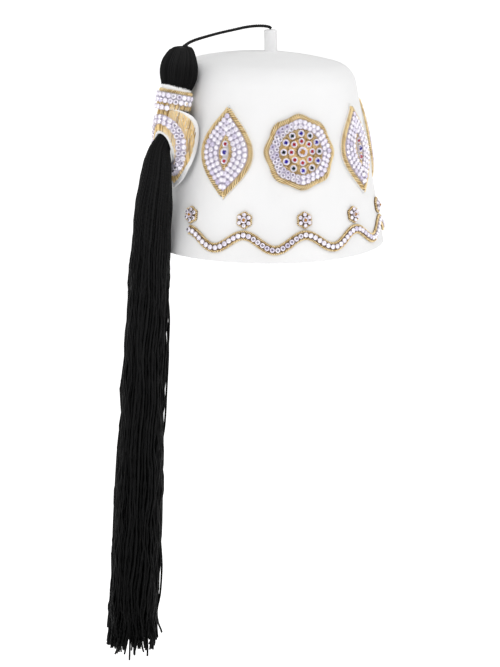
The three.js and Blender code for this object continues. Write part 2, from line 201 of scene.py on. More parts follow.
def whiteFelt():
    finish, tree, shader = newFinish("whiteFelt", Roughness=0.92, Sheen_Weight=0.25, Sheen_Roughness=0.4)
    shader.inputs["Specular IOR Level"].default_value = 0.2
    shade = ramp(tree, grain(tree, 22, 3), [(0.3, (0.785, 0.785, 0.783)), (0.7, (0.825, 0.825, 0.823))])
    tree.links.new(shade, shader.inputs["Base Color"])
    nap = bump(tree, shader, grain(tree, 2400, 4, roughness=0.7), 0.00012)
    bump(tree, shader, grain(tree, 240, 3), 0.00025, 0.5, before=nap)
    return finish


def twist(tree, turns, plies):
    # the spiral of a strand's plies; the UV map of a thread runs along it in x and round it in y
    place = addNode(tree, "ShaderNodeTexCoord")
    spiral = addNode(tree, "ShaderNodeVectorMath", {"operation": "DOT_PRODUCT"})
    spiral.inputs[1].default_value = (2 * math.pi * turns, 2 * math.pi * plies, 0)
    wave = addNode(tree, "ShaderNodeMath", {"operation": "SINE"})
    tree.links.new(place.outputs["UV"], spiral.inputs[0])
    tree.links.new(spiral.outputs["Value"], wave.inputs[0])
    return wave.outputs[0]


def paintedTopLight(tree, color, heights, shares):
    # painted light from above: a colour scaled by a share that goes from the low height's to the high
    # height's, so the top is lit and the bottom shaded
    place = addNode(tree, "ShaderNodeTexCoord")
    parts = addNode(tree, "ShaderNodeSeparateXYZ")
    share = addNode(tree, "ShaderNodeMapRange")
    for socket, value in zip(("From Min", "From Max", "To Min", "To Max"), (*heights, *shares)):
        share.inputs[socket].default_value = value
    scaled = addNode(tree, "ShaderNodeVectorMath", {"operation": "SCALE"})
    tree.links.new(place.outputs["Object"], parts.inputs[0])
    tree.links.new(parts.outputs["Z"], share.inputs["Value"])
    tree.links.new(color, scaled.inputs[0])
    tree.links.new(share.outputs["Result"], scaled.inputs["Scale"])
    return scaled.outputs[0]


# black thread whose colour is scaled by height, painted light from above that makes the top lighter
def blackStrands(name, shades, gloss, heights, shares, turns=0):
    finish, tree, shader = newFinish(name, Roughness=0.5)
    shader.inputs["Specular IOR Level"].default_value = gloss
    color = paintedTopLight(tree, islandShade(tree, shades), heights, shares)
    tree.links.new(color, shader.inputs["Base Color"])
    fibre = bump(tree, shader, grain(tree, 2600, 3, stretch=(1, 1, 0.12)), 0.00015)
    if turns:
        bump(tree, shader, twist(tree, turns, 2), 0.00012, before=fibre)
    return finish


def goldThread(name, dark, light, roughness):
    finish, tree, shader = newFinish(name, Metallic=0.6, Roughness=roughness)
    tree.links.new(islandShade(tree, [(0, dark), (0.5, light), (1, light)]), shader.inputs["Base Color"])
    bump(tree, shader, grain(tree, 4200, 2), 0.00014)
    return finish


def cutGlass(name, stops, **values):
    finish, tree, shader = newFinish(name, Roughness=0.08, **values)
    tree.links.new(islandShade(tree, stops), shader.inputs["Base Color"])
    return finish


def plainTint(name, color, **values):
    finish, tree, shader = newFinish(name, **values)
    tint = ramp(tree, grain(tree, 900, 2), [(0.3, [0.82 * part for part in color]), (0.7, color)])
    tree.links.new(tint, shader.inputs["Base Color"])
    return finish


felt = whiteFelt()
strandShades = [(0, (0.0008, 0.0008, 0.0009)), (1, (0.0092, 0.0092, 0.0094))]
headShades = [(0, (0.002, 0.002, 0.0021)), (1, (0.011, 0.011, 0.0112))]
cordShades = [(0, (0.008, 0.008, 0.008)), (1, (0.009, 0.009, 0.009))]
# the heights and shares paint light from above: the head and the skirt lighter at the top and darker lower
# down; the cord's (1, 1) leaves it even
tasselBlack = blackStrands("tasselBlack", strandShades, 0.06, (-0.34, 0.1), (0.32, 1.4), turns=85)
headBlack = blackStrands("headBlack", headShades, 0.1, (0.134, 0.16), (0.35, 1.85))
cordBlack = blackStrands("cordBlack", cordShades, 0.12, (0.1, 0.2), (1, 1))
bullion = goldThread("bullion", (0.70, 0.48, 0.20), (1.0, 0.80, 0.45), 0.4)
longStitch = goldThread("longStitch", (0.44, 0.26, 0.08), (1.0, 0.77, 0.39), 0.4)
# dark brown tint that paints the shade in the gaps between the gold wires, on the padding cords and on the
# grounds under the gold work
shadedPadding = plainTint("shadedPadding", (0.20, 0.12, 0.04), Metallic=0.2, Roughness=0.6)
lilacStops = [
    (0, (0.56, 0.50, 0.70)), (0.12, (0.80, 0.75, 0.90)), (0.4, (0.92, 0.88, 0.97)), (1, (0.98, 0.96, 1.0)),
]
lilacGlass = cutGlass("lilacGlass", lilacStops, Metallic=0.15, Coat_Weight=0.3)
lilacTable = cutGlass("lilacTable", lilacStops, Metallic=0.85)
amberGlass = cutGlass("amberGlass", [(0, (0.26, 0.10, 0.012)), (1, (0.42, 0.19, 0.03))])
redGlass = cutGlass("redGlass", [(0, (0.22, 0.003, 0.012)), (1, (0.42, 0.01, 0.03))])
blueGlass = cutGlass("blueGlass", [(0, (0.012, 0.008, 0.19)), (1, (0.05, 0.03, 0.42))])
greenGlass = cutGlass("greenGlass", [(0, (0.002, 0.006, 0.006)), (1, (0.012, 0.03, 0.028))])
cupMetal = plainTint("cupMetal", (0.86, 0.82, 0.92), Metallic=0.2, Roughness=0.3)
stoneGround = plainTint("stoneGround", (0.72, 0.67, 0.80), Metallic=0.1, Roughness=0.5)
print("materials ready")

# Making and finishing pieces


def finished(name, bm, finishes, replaced=(), smooth=True):
    bmesh.ops.remove_doubles(bm, verts=bm.verts, dist=weld)
    bmesh.ops.recalc_face_normals(bm, faces=bm.faces)
    bmesh.ops.scale(bm, vec=(mm, mm, mm), verts=bm.verts)
    mesh = bpy.data.meshes.new(name)
    bm.to_mesh(mesh)
    bm.free()
    for finish in finishes:
        mesh.materials.append(finish)
    mesh.polygons.foreach_set("use_smooth", [smooth] * len(mesh.polygons))
    piece = bpy.data.objects.new(name, mesh)
    bpy.context.scene.collection.objects.link(piece)
    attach(piece, "root")
    if replaced:
        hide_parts(*replaced)
    print(f"{name}: {len(mesh.polygons)} faces")
    return piece


def threadMesh(lines, radius, roundness=0, cyclic=False):
    # tubes along lines of points, as a curve with a round bevel, turned into one closed mesh
    curve = bpy.data.curves.new("threads", "CURVE")
    curve.dimensions = "3D"
    curve.bevel_depth = radius
    curve.bevel_resolution = roundness
    curve.use_fill_caps = not cyclic
    for line in lines:
        spline = curve.splines.new("POLY")
        spline.use_cyclic_u = cyclic
        spline.points.add(len(line) - 1)
        spline.points.foreach_set("co", [part for point in line for part in (*point, 1)])
    holder = bpy.data.objects.new("threads", curve)
    bpy.context.scene.collection.objects.link(holder)
    seen = holder.evaluated_get(bpy.context.evaluated_depsgraph_get())
    mesh = bpy.data.meshes.new_from_object(seen)
    bpy.data.objects.remove(holder)
    bpy.data.curves.remove(curve)
    bm = bmesh.new()
    bm.from_mesh(mesh)
    bpy.data.meshes.remove(mesh)
    bmesh.ops.remove_doubles(bm, verts=bm.verts, dist=0.001)
    return bm


def joined(parts):
    # one bmesh of several, each part with the material index that it is given
    whole = bmesh.new()
    for part, index in parts:
        for face in part.faces:
            face.material_index = index
        mesh = bpy.data.meshes.new("part")
        part.to_mesh(mesh)
        part.free()
        whole.from_mesh(mesh)
        bpy.data.meshes.remove(mesh)
    return whole


def spun(profile, steps):
    # a closed profile of (reach, height) points, turned a full round about the upright axis
    bm = bmesh.new()
    ring = [bm.verts.new((reach, 0, height)) for reach, height in profile]
    edges = [bm.edges.new((ring[i - 1], ring[i])) for i in range(len(ring))]
    bmesh.ops.spin(bm, geom=ring + edges, cent=(0, 0, 0), axis=(0, 0, 1), angle=2 * math.pi,
                   steps=steps, use_merge=True)
    bmesh.ops.remove_doubles(bm, verts=bm.verts, dist=weld)
    bmesh.ops.dissolve_degenerate(bm, edges=bm.edges, dist=0.0005)
    return bm


def evenly(line, pitch, closed=True):
    # points a pitch apart along a line, each with the direction of the line there
    ends = line + line[:1] if closed else line
    lengths = [(b - a).length for a, b in zip(ends, ends[1:])]
    total = sum(lengths)
    count = max(round(total / pitch), 3)
    spots = []
    done = 0.0
    index = 0
    for number in range(count if closed else count + 1):
        wanted = total * number / count
        while index < len(lengths) - 1 and done + lengths[index] < wanted:
            done += lengths[index]
            index += 1
        step = ends[index + 1] - ends[index]
        spots.append((ends[index] + step * ((wanted - done) / lengths[index]), step.normalized()))
    return spots


def wrapMesh(bm, wrap):
    for vert in bm.verts:
        vert.co = wrap(*vert.co)


# Cord from the stem to the tassel's head

cordage = {
    "route": [
        (2.2, -0.5, 171.3), (1.4, -0.8, 172.1), (-0.6, -1.4, 172.8), (-4.4, -2.5, 173.5),
        (-10.5, -4.3, 173.9), (-16.5, -6, 173.8), (-22.8, -7.8, 173.3), (-29.6, -9.8, 172.4),
        (-38.4, -12.3, 171.2), (-47, -14.7, 169.9), (-55.4, -17.1, 168.4), (-62, -18.9, 167.1),
        (-66.8, -20.3, 166), (-70.4, -21.4, 164.9), (-73, -22.2, 163.8), (-74.9, -22.8, 162.7),
    ],
    "diameter": 2.5,
    "plies": 3,
    "plyDepth": 0.17,  # how deep the grooves between the plies are, as a share of the radius
    "lay": 6.5,  # length of one twist
    "stepsBetween": 9,
}


def betweenKnots(a, b, c, d, t):
    # a Catmull-Rom step from b to c, which a and d steer
    return 0.5 * (2 * b + (c - a) * t + (2 * a - 5 * b + 4 * c - d) * t**2 + (3 * b - a - 3 * c + d) * t**3)


def smoothRoute(points, stepsBetween):
    knots = [Vector(point) for point in points]
    knots = [2 * knots[0] - knots[1], *knots, 2 * knots[-1] - knots[-2]]
    line = []
    for four in zip(knots, knots[1:], knots[2:], knots[3:]):
        line += [betweenKnots(*four, step / stepsBetween) for step in range(stepsBetween)]
    return line + [knots[-2]]


def twistedCord(line):
    sides = 6 * cordage["plies"]
    radius = cordage["diameter"] / 2
    bm = bmesh.new()
    ring = bmesh.ops.create_circle(bm, segments=sides, radius=radius)["verts"]
    shape = []
    for side in range(sides):
        turn = 2 * math.pi * side / sides
        reach = radius * (1 - cordage["plyDepth"] * (1 - abs(math.cos(cordage["plies"] * turn / 2))))
        shape.append((turn, reach))
    edges = list(bm.edges)
    travelled = 0.0
    for index, point in enumerate(line):
        after, before = line[min(index + 1, len(line) - 1)], line[max(index - 1, 0)]
        along = (after - before).normalized()
        wide = along.cross(Vector((0, 0, 1))).normalized()
        upright = wide.cross(along)
        travelled += (point - line[index - 1]).length if index else 0
        spin = 2 * math.pi * travelled / cordage["lay"]
        if index:
            grown = bmesh.ops.extrude_edge_only(bm, edges=edges)["geom"]
            edges = [part for part in grown if isinstance(part, bmesh.types.BMEdge)]
            edges = [edge for edge in edges if len(edge.link_faces) == 1]
            partner = {}
            for vert in ring:
                for edge in vert.link_edges:
                    other = edge.other_vert(vert)
                    if other in grown and other not in ring:
                        partner[vert] = other
            ring = [partner[vert] for vert in ring]
        for vert, (turn, reach) in zip(ring, shape):
            vert.co = point + reach * (math.cos(turn + spin) * wide + math.sin(turn + spin) * upright)
    bmesh.ops.holes_fill(bm, edges=bm.edges, sides=sides)
    return bm


cordLine = smoothRoute(cordage["route"], cordage["stepsBetween"])
cord = finished("tassel_cord_twisted", twistedCord(cordLine), [cordBlack], ["tassel_cord"])

# Crown and stem

stalk = {
    "radius": 5.2,
    "height": 17.2,
    "across": 2.7,
    "lean": math.radians(2),
    "foot": 151.0,
    "edge": 0.8,
    "flare": 0.9,  # how much wider its foot is
    "flareFade": 1.6,
    "wobble": 0.12,
    "crowned": (0.15, 0.2),  # rise of its top halfway in and in the middle
}


def arcPoints(centre, radius, start, end, steps):
    for step in range(steps + 1):
        turn = start + (end - start) * step / steps
        yield centre[0] + radius * math.cos(turn), centre[1] + radius * math.sin(turn)


def crownLine(inset):
    # one side of the felt from the rim to the middle of the top
    centreHeight = hat["height"] - hat["shoulder"]
    centreReach = wallRadius(centreHeight) - hat["shoulder"] / math.cos(wallSlope)
    domeEdge = math.pi / 2 - 2 * math.atan(hat["dome"] / centreReach)
    domeCentre = centreHeight - centreReach * math.tan(domeEdge)
    domeRadius = centreReach / math.cos(domeEdge) + hat["shoulder"] - inset
    wallInset = inset / math.cos(wallSlope)
    line = [(wallRadius(h) - wallInset, h) for h in range(2, int(centreHeight), 6)]
    line += arcPoints((centreReach, centreHeight), hat["shoulder"] - inset, wallSlope, domeEdge, 14)
    line += list(arcPoints((0, domeCentre), domeRadius, domeEdge, math.pi / 2, 12))[1:-1]
    return line + [(0, domeCentre + domeRadius)]


def makeCrown():
    rounding = hat["edge"]
    outer, inner = crownLine(0), crownLine(hat["felt"])
    outerReach, innerReach = wallRadius(0) - rounding, wallRadius(0) - hat["felt"] + rounding
    outerFoot = arcPoints((outerReach, rounding), rounding, -math.pi / 2, 0, 4)
    innerFoot = arcPoints((innerReach, rounding), rounding, math.pi, 1.5 * math.pi, 4)
    bm = spun([*outerFoot, *outer, *reversed(inner), *innerFoot], hat["roundSteps"])
    for vert in bm.verts:
        away = Vector((vert.co.x, vert.co.y, 0)).normalized()
        vert.co += away * hat["wobble"] * noise.noise(vert.co / hat["wobbleSize"])
        vert.co = leaned(*vert.co)
    return finished("crown_felt", bm, [felt], ["crown"])


def makeStem():
    top = leaned(stalk["across"], 0, hat["height"]).z + hat["dome"] + stalk["height"]
    length = top - stalk["foot"]
    radius, rounding = stalk["radius"], stalk["edge"]
    edge = list(arcPoints((radius - rounding, length - rounding), rounding, 0, math.pi / 2, 5))
    flare, fade = stalk["flare"], stalk["flareFade"]
    sides = [(radius + flare * math.exp(-h / fade), h) for h in (0, 1, 2, 3, 4.5, 6.5, 9, 12, 15)]
    halfway, middle = (length + rise for rise in stalk["crowned"])
    bm = spun([(0, 0), *sides, *edge, (radius / 2, halfway), (0, middle)], 48)
    for vert in bm.verts:
        spot = vert.co / 4
        vert.co += stalk["wobble"] * Vector((noise.noise(spot), noise.noise(spot + Vector((9, 0, 0))), 0))
    bmesh.ops.rotate(bm, verts=bm.verts, cent=(0, 0, 0), matrix=Matrix.Rotation(-stalk["lean"], 3, "Y"))
    bmesh.ops.translate(bm, verts=bm.verts, vec=(stalk["across"], 0, stalk["foot"]))
    return finished("stem_felt", bm, [felt], ["stem"])


makeCrown()
makeStem()
print("crown and stem done")

# Tassel: sections of the bundle, from the head's top down. out is the distance from the
# crown's axis, across the shift along the wall, depth and width the half sizes.

tassel = {
    "angle": math.radians(-73.3),
    "sections": [
        {"z": 161.4, "out": 81.4, "across": 0, "depth": 4.2, "width": 4.2},
        {"z": 160.8, "out": 81.4, "across": 0, "depth": 7.2, "width": 7.2},
        {"z": 158.5, "out": 81.5, "across": 0, "depth": 9.6, "width": 9.6},
        {"z": 154.2, "out": 82.3, "across": 0, "depth": 12, "width": 12},
        {"z": 149.4, "out": 83.4, "across": 0, "depth": 14, "width": 14.1},
        {"z": 144.2, "out": 84.4, "across": 0, "depth": 14.8, "width": 14.9},
        {"z": 138.8, "out": 85, "across": 0, "depth": 14.4, "width": 14.6},
        {"z": 134.6, "out": 85.7, "across": 0, "depth": 13.4, "width": 13.5},
        {"z": 131, "out": 86.5, "across": 0, "depth": 12.2, "width": 12.2},
        {"z": 128.8, "out": 87, "across": 0, "depth": 11, "width": 11},
        {"z": 127.2, "out": 87.4, "across": 0, "depth": 9.8, "width": 9.8},
        {"z": 121, "out": 88.5, "across": 0, "depth": 9.6, "width": 9.6},
        {"z": 107, "out": 86.7, "across": 0, "depth": 7.4, "width": 10.8},
        {"z": 102, "out": 88, "across": 0, "depth": 6.6, "width": 9.8},
        {"z": 97.5, "out": 91.2, "across": 0, "depth": 6, "width": 8.6},
        {"z": 93.3, "out": 95.5, "across": 0.1, "depth": 5.4, "width": 7.8},
        {"z": 88.8, "out": 100, "across": 0.4, "depth": 6, "width": 8},
        {"z": 82.5, "out": 104.1, "across": 1.2, "depth": 7.4, "width": 9.8},
        {"z": 74.5, "out": 107, "across": 3, "depth": 9, "width": 13.2},
        {"z": 62, "out": 108.4, "across": 2.6, "depth": 10.8, "width": 15},
        {"z": 42, "out": 109.6, "across": 1, "depth": 13.8, "width": 15.4},
        {"z": 12, "out": 111, "across": -1.1, "depth": 15.2, "width": 15.9},
        {"z": -37, "out": 113.3, "across": -2.9, "depth": 16.9, "width": 17.6},
        {"z": -119, "out": 117.6, "across": -5.9, "depth": 18, "width": 19},
        {"z": -204, "out": 121.6, "across": -8.8, "depth": 19.4, "width": 20.4},
        {"z": -292, "out": 125.4, "across": -12.5, "depth": 19.8, "width": 20.8},
        {"z": -322, "out": 126.6, "across": -13.4, "depth": 19.6, "width": 20.5},
        {"z": -346, "out": 127.4, "across": -13.9, "depth": 19.8, "width": 20.6},
    ],
    "headEnd": 12,  # the section where the head's threads are out of sight in the cuff
    "skirtStart": 12,
    "headThreads": 140,
    "headThread": 0.48,
    "headSteps": 30,
    "headWidest": 15,
    "headCore": 0.955,
    "seat": [(0.2, 2.6), (2.6, 1.2), (1.9, 2.5), (1.25, 3.2)],  # reach and height round the cord's end
    "seatPlace": (-0.3, 0, -2.6),  # from the cord's end
    "strand": 0.76,
    "layers": [
        {"count": 84, "low": 0.93, "high": 0.975, "steps": 84},
        {"count": 90, "low": 0.83, "high": 0.93, "steps": 76},
        {"count": 96, "low": 0.3, "high": 0.83, "steps": 56},
    ],
    "core": 0.72,
    "coreShorter": 34,
    "locks": 15,
    "lockWander": 2.0,
    "lockWave": (26, 110),  # lengths of a lock's slow waves
    "ripple": 0.56,
    "rippleWave": (12, 38),
    "swing": 0.05,
    "looseFrom": 85,  # the height from which strands stray, more and more over the next stretch
    "looseOver": 120,
    "longest": -336.5,
    "longSide": math.radians(345),
    "shorter": (8, 25),  # how much higher strands may end, on the long side and on the short one
    "splay": 3.4,
    "splayOver": 30,
    # a place where most strands keep back and a few hang loose outside
    "hollow": {"turn": math.radians(143), "spread": 0.55, "z": -85, "length": 62, "depth": 0.24,
               "outside": 0.14},
}
waveTurn = 6.28  # a wave's full turn, to the second decimal
outward = Vector((math.sin(tassel["angle"]), -math.cos(tassel["angle"]), 0))
sideways = Vector((math.cos(tassel["angle"]), math.sin(tassel["angle"]), 0))


def blended(rows, at, key):
    # a smooth value between the rows of a table
    index = min(int(at), len(rows) - 2)
    t = at - index
    a, b, c, d = (rows[min(max(index + k, 0), len(rows) - 1)][key] for k in (-1, 0, 1, 2))
    if key == "z":
        return b + (c - b) * t
    low, high = min(b, c), max(b, c)
    spare = 0.15 * (high - low)
    return min(max(betweenKnots(a, b, c, d, t), low - spare), high + spare)


def bundleAt(at):
    rows = tassel["sections"]
    keys = ("z", "out", "across", "depth", "width")
    z, out, across, depth, width = (blended(rows, at, key) for key in keys)
    return Vector((0, 0, z)) + outward * out + sideways * across, depth, width


def bundleAlong(at):
    last = len(tassel["sections"]) - 1
    return (bundleAt(min(at + 0.25, last))[0] - bundleAt(max(at - 0.25, 0))[0]).normalized()


def bundlePoint(at, turn, share):
    centre, depth, width = bundleAt(at)
    away = bundleAlong(at).cross(sideways).normalized()
    if away.dot(outward) < 0:
        away = -away
    wide = away.cross(bundleAlong(at)).normalized()
    return centre + away * depth * share * math.cos(turn) + wide * width * share * math.sin(turn)


def sectionAtHeight(z):
    rows = tassel["sections"]
    for index in range(len(rows) - 1):
        if rows[index + 1]["z"] <= z:
            return index + (rows[index]["z"] - z) / (rows[index]["z"] - rows[index + 1]["z"])
    return len(rows) - 1.0


def roundEdges(circle):
    # the edges that run round a circle of points
    edges = dict.fromkeys(edge for vert in circle for edge in vert.link_edges)
    return [edge for edge in edges if all(vert in circle for vert in edge.verts)]


def tasselCore(start, end, share, steps, sides=28):
    # the dark body under the threads, bridged from section to section
    bm = bmesh.new()
    rings = [bmesh.ops.create_circle(bm, segments=sides, radius=1)["verts"] for _ in range(steps + 1)]
    for upper, lower in zip(rings, rings[1:]):
        bmesh.ops.bridge_loops(bm, edges=roundEdges(upper) + roundEdges(lower))
    for step, ring in enumerate(rings):
        at = start + (end - start) * step / steps
        for side, vert in enumerate(ring):
            vert.co = bundlePoint(at, 2 * math.pi * side / sides, share)
    bmesh.ops.holes_fill(bm, edges=bm.edges, sides=sides)
    return bm


def headThreads():
    # fine threads drawn down over the head from the middle of its top
    lines = []
    end, steps = tassel["headEnd"], tassel["headSteps"]
    for number in range(tassel["headThreads"]):
        turn = 2 * math.pi * (number + dice.uniform(-0.25, 0.25)) / tassel["headThreads"]
        share = 1 - tassel["headThread"] / tassel["headWidest"] + dice.uniform(-0.012, 0.006)
        drift = dice.uniform(-0.03, 0.03)
        lines.append([bundlePoint(end * step / steps, turn + drift * step / steps, share)
                      for step in range(steps + 1)])
    return threadMesh(lines, tassel["headThread"])


def makeHead():
    seat = spun(tassel["seat"], 16)
    foot = Vector(cordage["route"][-1]) + Vector(tassel["seatPlace"])
    bmesh.ops.translate(seat, verts=seat.verts, vec=foot)
    core = tasselCore(0.1, tassel["headEnd"], tassel["headCore"], 32)
    parts = [(core, 0), (headThreads(), 0), (seat, 0)]
    finished("tassel_head", joined(parts), [headBlack], ["tassel"])


def newLock(number):
    # strands of one lock share a slow drift, an end height and a lean of their ends
    turn = 2 * math.pi * (number + 0.5) / tassel["locks"]
    waves = [(dice.uniform(*tassel["lockWave"]), dice.uniform(0, waveTurn), dice.uniform(0.3, 1))
             for _ in range(4)]
    size = tassel["lockWander"] / 2
    away = 0.5 - 0.5 * math.cos(turn - tassel["longSide"])
    low, high = tassel["shorter"]

    def drift(z, picked):
        return size * sum(force * math.sin(waveTurn * z / length + phase) for length, phase, force in picked)

    return {
        "inOut": lambda z: drift(z, waves[:2]),
        "round": lambda z: drift(z, waves[2:]),
        "end": tassel["longest"] + dice.uniform(0, 3),
        "shorter": low + (high - low) * away,
        "lean": (dice.uniform(-1, 1), dice.uniform(-0.5, 0.6)),
    }


def strandLine(turn, share, lock, steps):
    # one strand from inside the ring down to its own end
    start = tassel["skirtStart"]
    endZ = lock["end"] + lock["shorter"] * dice.random() ** 0.7
    end = sectionAtHeight(endZ)
    waves = [(dice.uniform(*tassel["rippleWave"]), dice.uniform(0, waveTurn)) for _ in range(2)]
    swing = dice.gauss(0, tassel["swing"])
    tips = [dice.uniform(-1, 1) + lean for lean in lock["lean"]]
    hollow = tassel["hollow"]
    kept = dice.random() > hollow["outside"]
    fromHollow = math.remainder(turn - hollow["turn"], 2 * math.pi)
    kept *= hollow["depth"] * math.exp(-(fromHollow / hollow["spread"]) ** 2)
    line = []
    for step in range(steps + 1):
        at = start + (end - start) * (step / steps) ** 0.8
        centre, depth, width = bundleAt(at)
        z = centre.z
        loose = clamped((tassel["looseFrom"] - z) / tassel["looseOver"]) * (0.7 + 0.3 * clamped(-z / 300))
        last = max(1 - (z - endZ) / tassel["splayOver"], 0) ** 2 * tassel["splay"]
        ripple = [tassel["ripple"] * loose * math.sin(waveTurn * z / length + phase)
                  for length, phase in waves]
        reach = share * (1 - kept * math.exp(-((z - hollow["z"]) / hollow["length"]) ** 2))
        reach += (lock["inOut"](z) * loose * share + ripple[0] + tips[1] * last) / width
        around = turn + swing * loose + (lock["round"](z) * loose + ripple[1] + tips[0] * last) / width
        line.append(bundlePoint(at, around, reach))
    return line


def strayLine(turn, knots):
    # a loose strand beside the bundle; the knots are its heights and its distances from it
    rows = [{"z": z, "away": away} for z, away in knots]
    line = []
    stepsBetween = 8
    for step in range(stepsBetween * (len(rows) - 1) + 1):
        z, away = (blended(rows, step / stepsBetween, key) for key in ("z", "away"))
        at = sectionAtHeight(z)
        _, _, width = bundleAt(at)
        line.append(bundlePoint(at, turn + 0.012 * math.sin(z / 6), 0.96 + away / width))
    return line


# Loose strands: degrees round the bundle from its outer side, and the knots of each
strays = [
    (145, [(-215, -3), (-240, 0.4), (-262, 2.6), (-284, 2.2), (-300, 0.2), (-311, 1.6), (-320, 5)]),
    (132, [(-222, -3), (-236, 0.5), (-252, 1.5), (-268, 0.6), (-285, -2)]),
    (140, [(-10, -4), (-35, -1), (-52, 0.6), (-75, 0.4), (-100, -0.6), (-125, -3)]),
    (150, [(-30, -4), (-60, -0.6), (-82, 0.9), (-110, 0.8), (-140, 0.2), (-165, -3)]),
    (96, [(-250, -3), (-300, -1), (-320, 0), (-335, 0.6)]),
    (115, [(-250, -3), (-296, -0.6), (-318, 0.5), (-331, 0.8)]),
    (50, [(-280, -3), (-318, -0.8), (-330, 0.6), (-337.5, -0.6)]),
    (-38, [(-120, -3), (-150, 0.3), (-185, 0.8), (-230, 0.5), (-270, -0.6), (-300, 0.6), (-318, 2.2)]),
    (-30, [(-270, -3), (-300, 0), (-318, 0.8), (-329, 2)]),
    (200, [(-190, -3), (-230, 0.8), (-280, 1.2), (-320, 2), (-334, 4)]),
    (260, [(-90, -3), (-120, 0.8), (-160, 1.4), (-200, 0.6), (-240, -3)]),
]


def makeLayer(layer, locks):
    lines = []
    for number in range(layer["count"]):
        turn = 2 * math.pi * (number + dice.uniform(-0.35, 0.35)) / layer["count"]
        lock = locks[int(len(locks) * (turn / (2 * math.pi) % 1))]
        share = dice.uniform(layer["low"], layer["high"])
        lines.append(strandLine(turn, share, lock, layer["steps"]))
    return threadMesh(lines, tassel["strand"], 1)


def makeStrays():
    lines = [strayLine(math.radians(turn), knots) for turn, knots in strays]
    return threadMesh(lines, 1.15 * tassel["strand"], 1)


def makeTassel():
    makeHead()
    locks = [newLock(number) for number in range(tassel["locks"])]
    outer, between, inner = (makeLayer(layer, locks) for layer in tassel["layers"])
    finished("tassel_skirt", outer, [tasselBlack], ["tassel"])
    finished("tassel_skirt_under", between, [tasselBlack], ["tassel"])
    coreEnd = sectionAtHeight(tassel["longest"] + tassel["coreShorter"])
    core = tasselCore(tassel["skirtStart"], coreEnd, tassel["core"], 44)
    parts = [(inner, 0), (core, 0), (makeStrays(), 0)]
    finished("tassel_filling", joined(parts), [tasselBlack], ["tassel"])


makeTassel()
print("tassel done")

# Outlines of the ornaments, flat, as loops of points


def lens(halfWidth, halfHeight, count=96):
    loop = []
    for number in range(count):
        share = number / count
        height = halfHeight * (abs(4 * share - 2) - 1)
        width = max(math.cos(math.pi / 2 * height / halfHeight), 0) ** 1.1
        loop.append(Vector((math.copysign(halfWidth * width, 0.5 - share), height)))
    return loop


def lobed(radius, lobes=1, depth=0.0, count=120):
    loop = []
    for number in range(count):
        turn = 2 * math.pi * number / count
        reach = radius - depth * (1 - math.cos(lobes * turn)) / 2
        loop.append(Vector((reach * math.sin(turn), reach * math.cos(turn))))
    return loop


def oval(height, halfWidth, halfHeight, count=120):
    turns = [2 * math.pi * number / count for number in range(count)]
    return [Vector((halfWidth * math.sin(t), height + halfHeight * math.cos(t))) for t in turns]


def between(a, b, share):
    return [p.lerp(q, share) for p, q in zip(a, b)]


def plateOf(outline, inner, thickness, steps, rounding=0.0):
    # a flat plate from an outline in to another one, or to its middle
    middle = inner or [Vector((0, 0))] * len(outline)
    bm = bmesh.new()
    rows = []
    for step in range(steps + 1):
        loop = between(outline, middle, step / steps)
        if not inner and step == steps:
            centre = bm.verts.new((*middle[0], 0))
            rows.append([centre] * len(outline))
        else:
            rows.append([bm.verts.new((*point, 0)) for point in loop])
    for outerRow, innerRow in zip(rows, rows[1:]):
        for i in range(len(outline)):
            corners = [outerRow[i - 1], outerRow[i], innerRow[i], innerRow[i - 1]]
            bm.faces.new(dict.fromkeys(corners))
    faces = list(bm.faces)
    grown = bmesh.ops.extrude_face_region(bm, geom=faces, use_keep_orig=True)["geom"]
    top = [part for part in grown if isinstance(part, bmesh.types.BMVert)]
    bmesh.ops.translate(bm, verts=top, vec=(0, 0, thickness))
    bmesh.ops.recalc_face_normals(bm, faces=bm.faces)
    if rounding:
        upper = [edge for edge in bm.edges if all(vert in top for vert in edge.verts)]
        rim = [edge for edge in upper if len(edge.link_faces) == 2 and abs(edge.calc_face_angle(0)) > 1]
        bmesh.ops.bevel(bm, geom=rim, offset=rounding, segments=3, profile=0.5, affect="EDGES", material=-1)
    return bm


# Bullion: short gold wires laid side by side across a padding of long cords


def across(spot, direction, offset):
    return spot + Vector((-direction.y, direction.x)) * offset


bullionWork = {
    "bends": (-1, -0.72, -0.35, 0, 0.35, 0.72, 1),  # where a wire bends, as shares of half the width
    "cords": (-0.5, 0, 0.5),
    "cordPitch": 1.2,
    "cordRadius": 0.3,  # as a share of half the width
    "cordDepth": 2.1,  # under the top of the wires, in wire radii
    "uneven": 0.05,
}


def bullionRow(line, wrap, size, closed=True):
    # size holds width, height, base, pitch, wire and slant in millimetres
    half = size["width"] / 2
    uneven = bullionWork["uneven"]

    def crest(share):
        return size["base"] + size["height"] * math.sqrt(max(1 - share * share, 0.02))

    wires = []
    for spot, direction in evenly(line, size["pitch"], closed):
        wire = []
        for share in bullionWork["bends"]:
            flat = across(spot, direction, share * half) + direction * share * size["slant"] / 2
            wire.append(wrap(flat.x, flat.y, crest(share) + dice.uniform(-uneven, uneven)))
        wires.append(wire)
    cords = []
    for share in bullionWork["cords"]:
        lift = crest(share) - bullionWork["cordDepth"] * size["wire"]
        spots = evenly(line, bullionWork["cordPitch"], closed)
        places = [across(spot, direction, share * half) for spot, direction in spots]
        cords.append([wrap(place.x, place.y, lift) for place in places])
    cordRadius = bullionWork["cordRadius"] * half
    return threadMesh(wires, size["wire"], 1), threadMesh(cords, cordRadius, 1, cyclic=closed)


# Stones: a cut stone with a table in a small metal cup, made once and set many times


